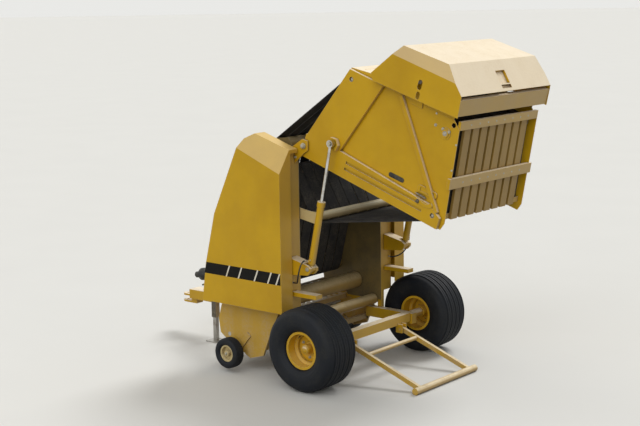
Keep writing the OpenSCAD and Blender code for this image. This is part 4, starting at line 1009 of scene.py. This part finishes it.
def turnedSkin(name, profile, centre, turns):
    # Spins a closed profile round the axle
    points = [centre + Vector((x, y, 0)) for x, y in profile]
    piece = drawOutline(name, points + points[:1])
    bpy.ops.mesh.remove_doubles(threshold=tyreShape["mergeReach"])
    bpy.ops.mesh.spin(steps=turns, angle=2 * math.pi, center=centre, axis=(0, 1, 0), use_auto_merge=True)
    bpy.ops.mesh.select_all(action="SELECT")
    bpy.ops.mesh.remove_doubles(threshold=tyreShape["mergeReach"])
    bpy.ops.object.mode_set(mode="OBJECT")
    return settle(piece, 40)


for kind, form in tyreForms.items():
    for side, y in leftRight:
        x, across, z = form["centre"]
        skin = turnedSkin(kind + "_skin_" + side, tyreProfile(form), spot(x, y * across, z), form["turns"])
        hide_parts(kind + "_" + side)
        handOver(skin, form["body"] + side, looks["tyre"])
print("tyres made")


# Tine springs: coils round the reel's bars beside each tine
tineSprings = {"reel": (1.420, 0.420), "barRing": 0.150, "bars": 4, "first": math.radians(20), "tines": 16,
               "pitch": 0.1075, "coil": 0.0205, "wire": 0.0035, "turns": 4, "slope": math.radians(3)}


def tineSpring(setup):
    loops = []
    for k in range(setup["turns"]):
        rise = (k + 0.6) * setup["wire"] * 2
        loops.append(ringPart(setup["coil"], setup["wire"], 18, 6, (0, 0, rise), (setup["slope"], 0, 0)))
    return joinPieces(loops, "spring")


reelX, reelZ = tineSprings["reel"]
places = []
for bar in range(tineSprings["bars"]):
    turn = tineSprings["first"] + bar * 2 * math.pi / tineSprings["bars"]
    x = reelX + tineSprings["barRing"] * math.cos(turn)
    z = reelZ - tineSprings["barRing"] * math.sin(turn)
    for k in range(tineSprings["tines"]):
        y = (k - (tineSprings["tines"] - 1) / 2) * tineSprings["pitch"]
        places.append((spot(x, y, z), (0, 1, 0)))
spread(tineSpring(tineSprings), "tine_springs", places, "reel", look="polished")
print("tine springs made")


# Hoses of the cylinders, from the barrel's port to the rear post. The bend's ends are points of the smoothed
# route, counted back from the post and on from the port.
hoses = {"radius": 0.009, "perSpan": 5, "bendStart": -20, "bendEnd": 6,
         "route": [(0.183, 1.000, 1.494), (0.184, 1.030, 1.492), (0.188, 1.056, 1.476), (0.198, 1.072, 1.446),
                   (0.210, 1.078, 1.405), (0.224, 1.078, 1.360), (0.240, 1.072, 1.315), (0.260, 1.058, 1.272),
                   (0.286, 1.034, 1.236), (0.318, 1.004, 1.210), (0.354, 0.974, 1.196), (0.392, 0.958, 1.190),
                   (0.412, 0.956, 1.190), (0.4457, 0.956, 1.190)]}
fittingShape = {"nut": 1.5, "nutTop": 1.3, "ferrule": 1.33, "ferruleFrom": 1.2, "ferruleTop": 3.4,
                "crimp": 1.3, "crimpWire": 0.12, "crimpFrom": 1.6, "crimpPitch": 0.5, "rounding": 0.08}


def hoseEnd(radius):
    # Swivel nut and crimped ferrule with four crimp rings, its origin in the nut's middle
    s = measures(fittingShape, radius)
    parts = [tube(s["nut"], 0, s["nutTop"], 6), tube(s["ferrule"], s["ferruleFrom"], s["ferruleTop"], 24)]
    for k in range(4):
        rise = s["crimpFrom"] + k * s["crimpPitch"]
        parts.append(ringPart(s["crimp"], s["crimpWire"], 24, 6, (0, 0, rise)))
    form = joinPieces(parts, "hoseEnd")
    bevelAll(form, s["rounding"], 1)
    return form


for side, y in leftRight:
    path = [spot(p.x, y * p.y, p.z) for p in smoothPath(hoses["route"], hoses["perSpan"])]
    cylinder = "cylinder_" + side
    hose = sweptTube("cylinder_hose_" + side, path, hoses["radius"])
    hose.data.materials.append(looks["hose"])
    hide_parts("hoses")
    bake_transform(hose)
    spread(hoseEnd(hoses["radius"]), "port_fitting_" + side, [(path[0], (0, y, 0))], cylinder)
    spread(hoseEnd(hoses["radius"]), "post_fitting_" + side, [(path[-1], (-1, 0, 0))], "root")
print("hoses made")


# Ridges pressed into the tailgate's top plate, at shares of the line across it
topRidges = {"from": (-0.844, 2.165), "to": (-0.800, 2.490), "shares": (0.3, 0.66), "sunk": 0.004,
             "half": 0.70, "radius": 0.007}
made = []
fromX, fromZ = topRidges["from"]
for share in topRidges["shares"]:
    x = fromX + (topRidges["to"][0] - fromX) * share - topRidges["sunk"]
    z = fromZ + (topRidges["to"][1] - fromZ) * share
    line = [gateSpot(x, topRidges["half"] * t, z) for t in (-1, -0.5, 0, 0.5, 1)]
    made.append(sweptTube("ridge", line, topRidges["radius"]))
handOver(joinPieces(made, "top_plate_ridges"), "tailgate", looks["yellow"])
print("ridges made")
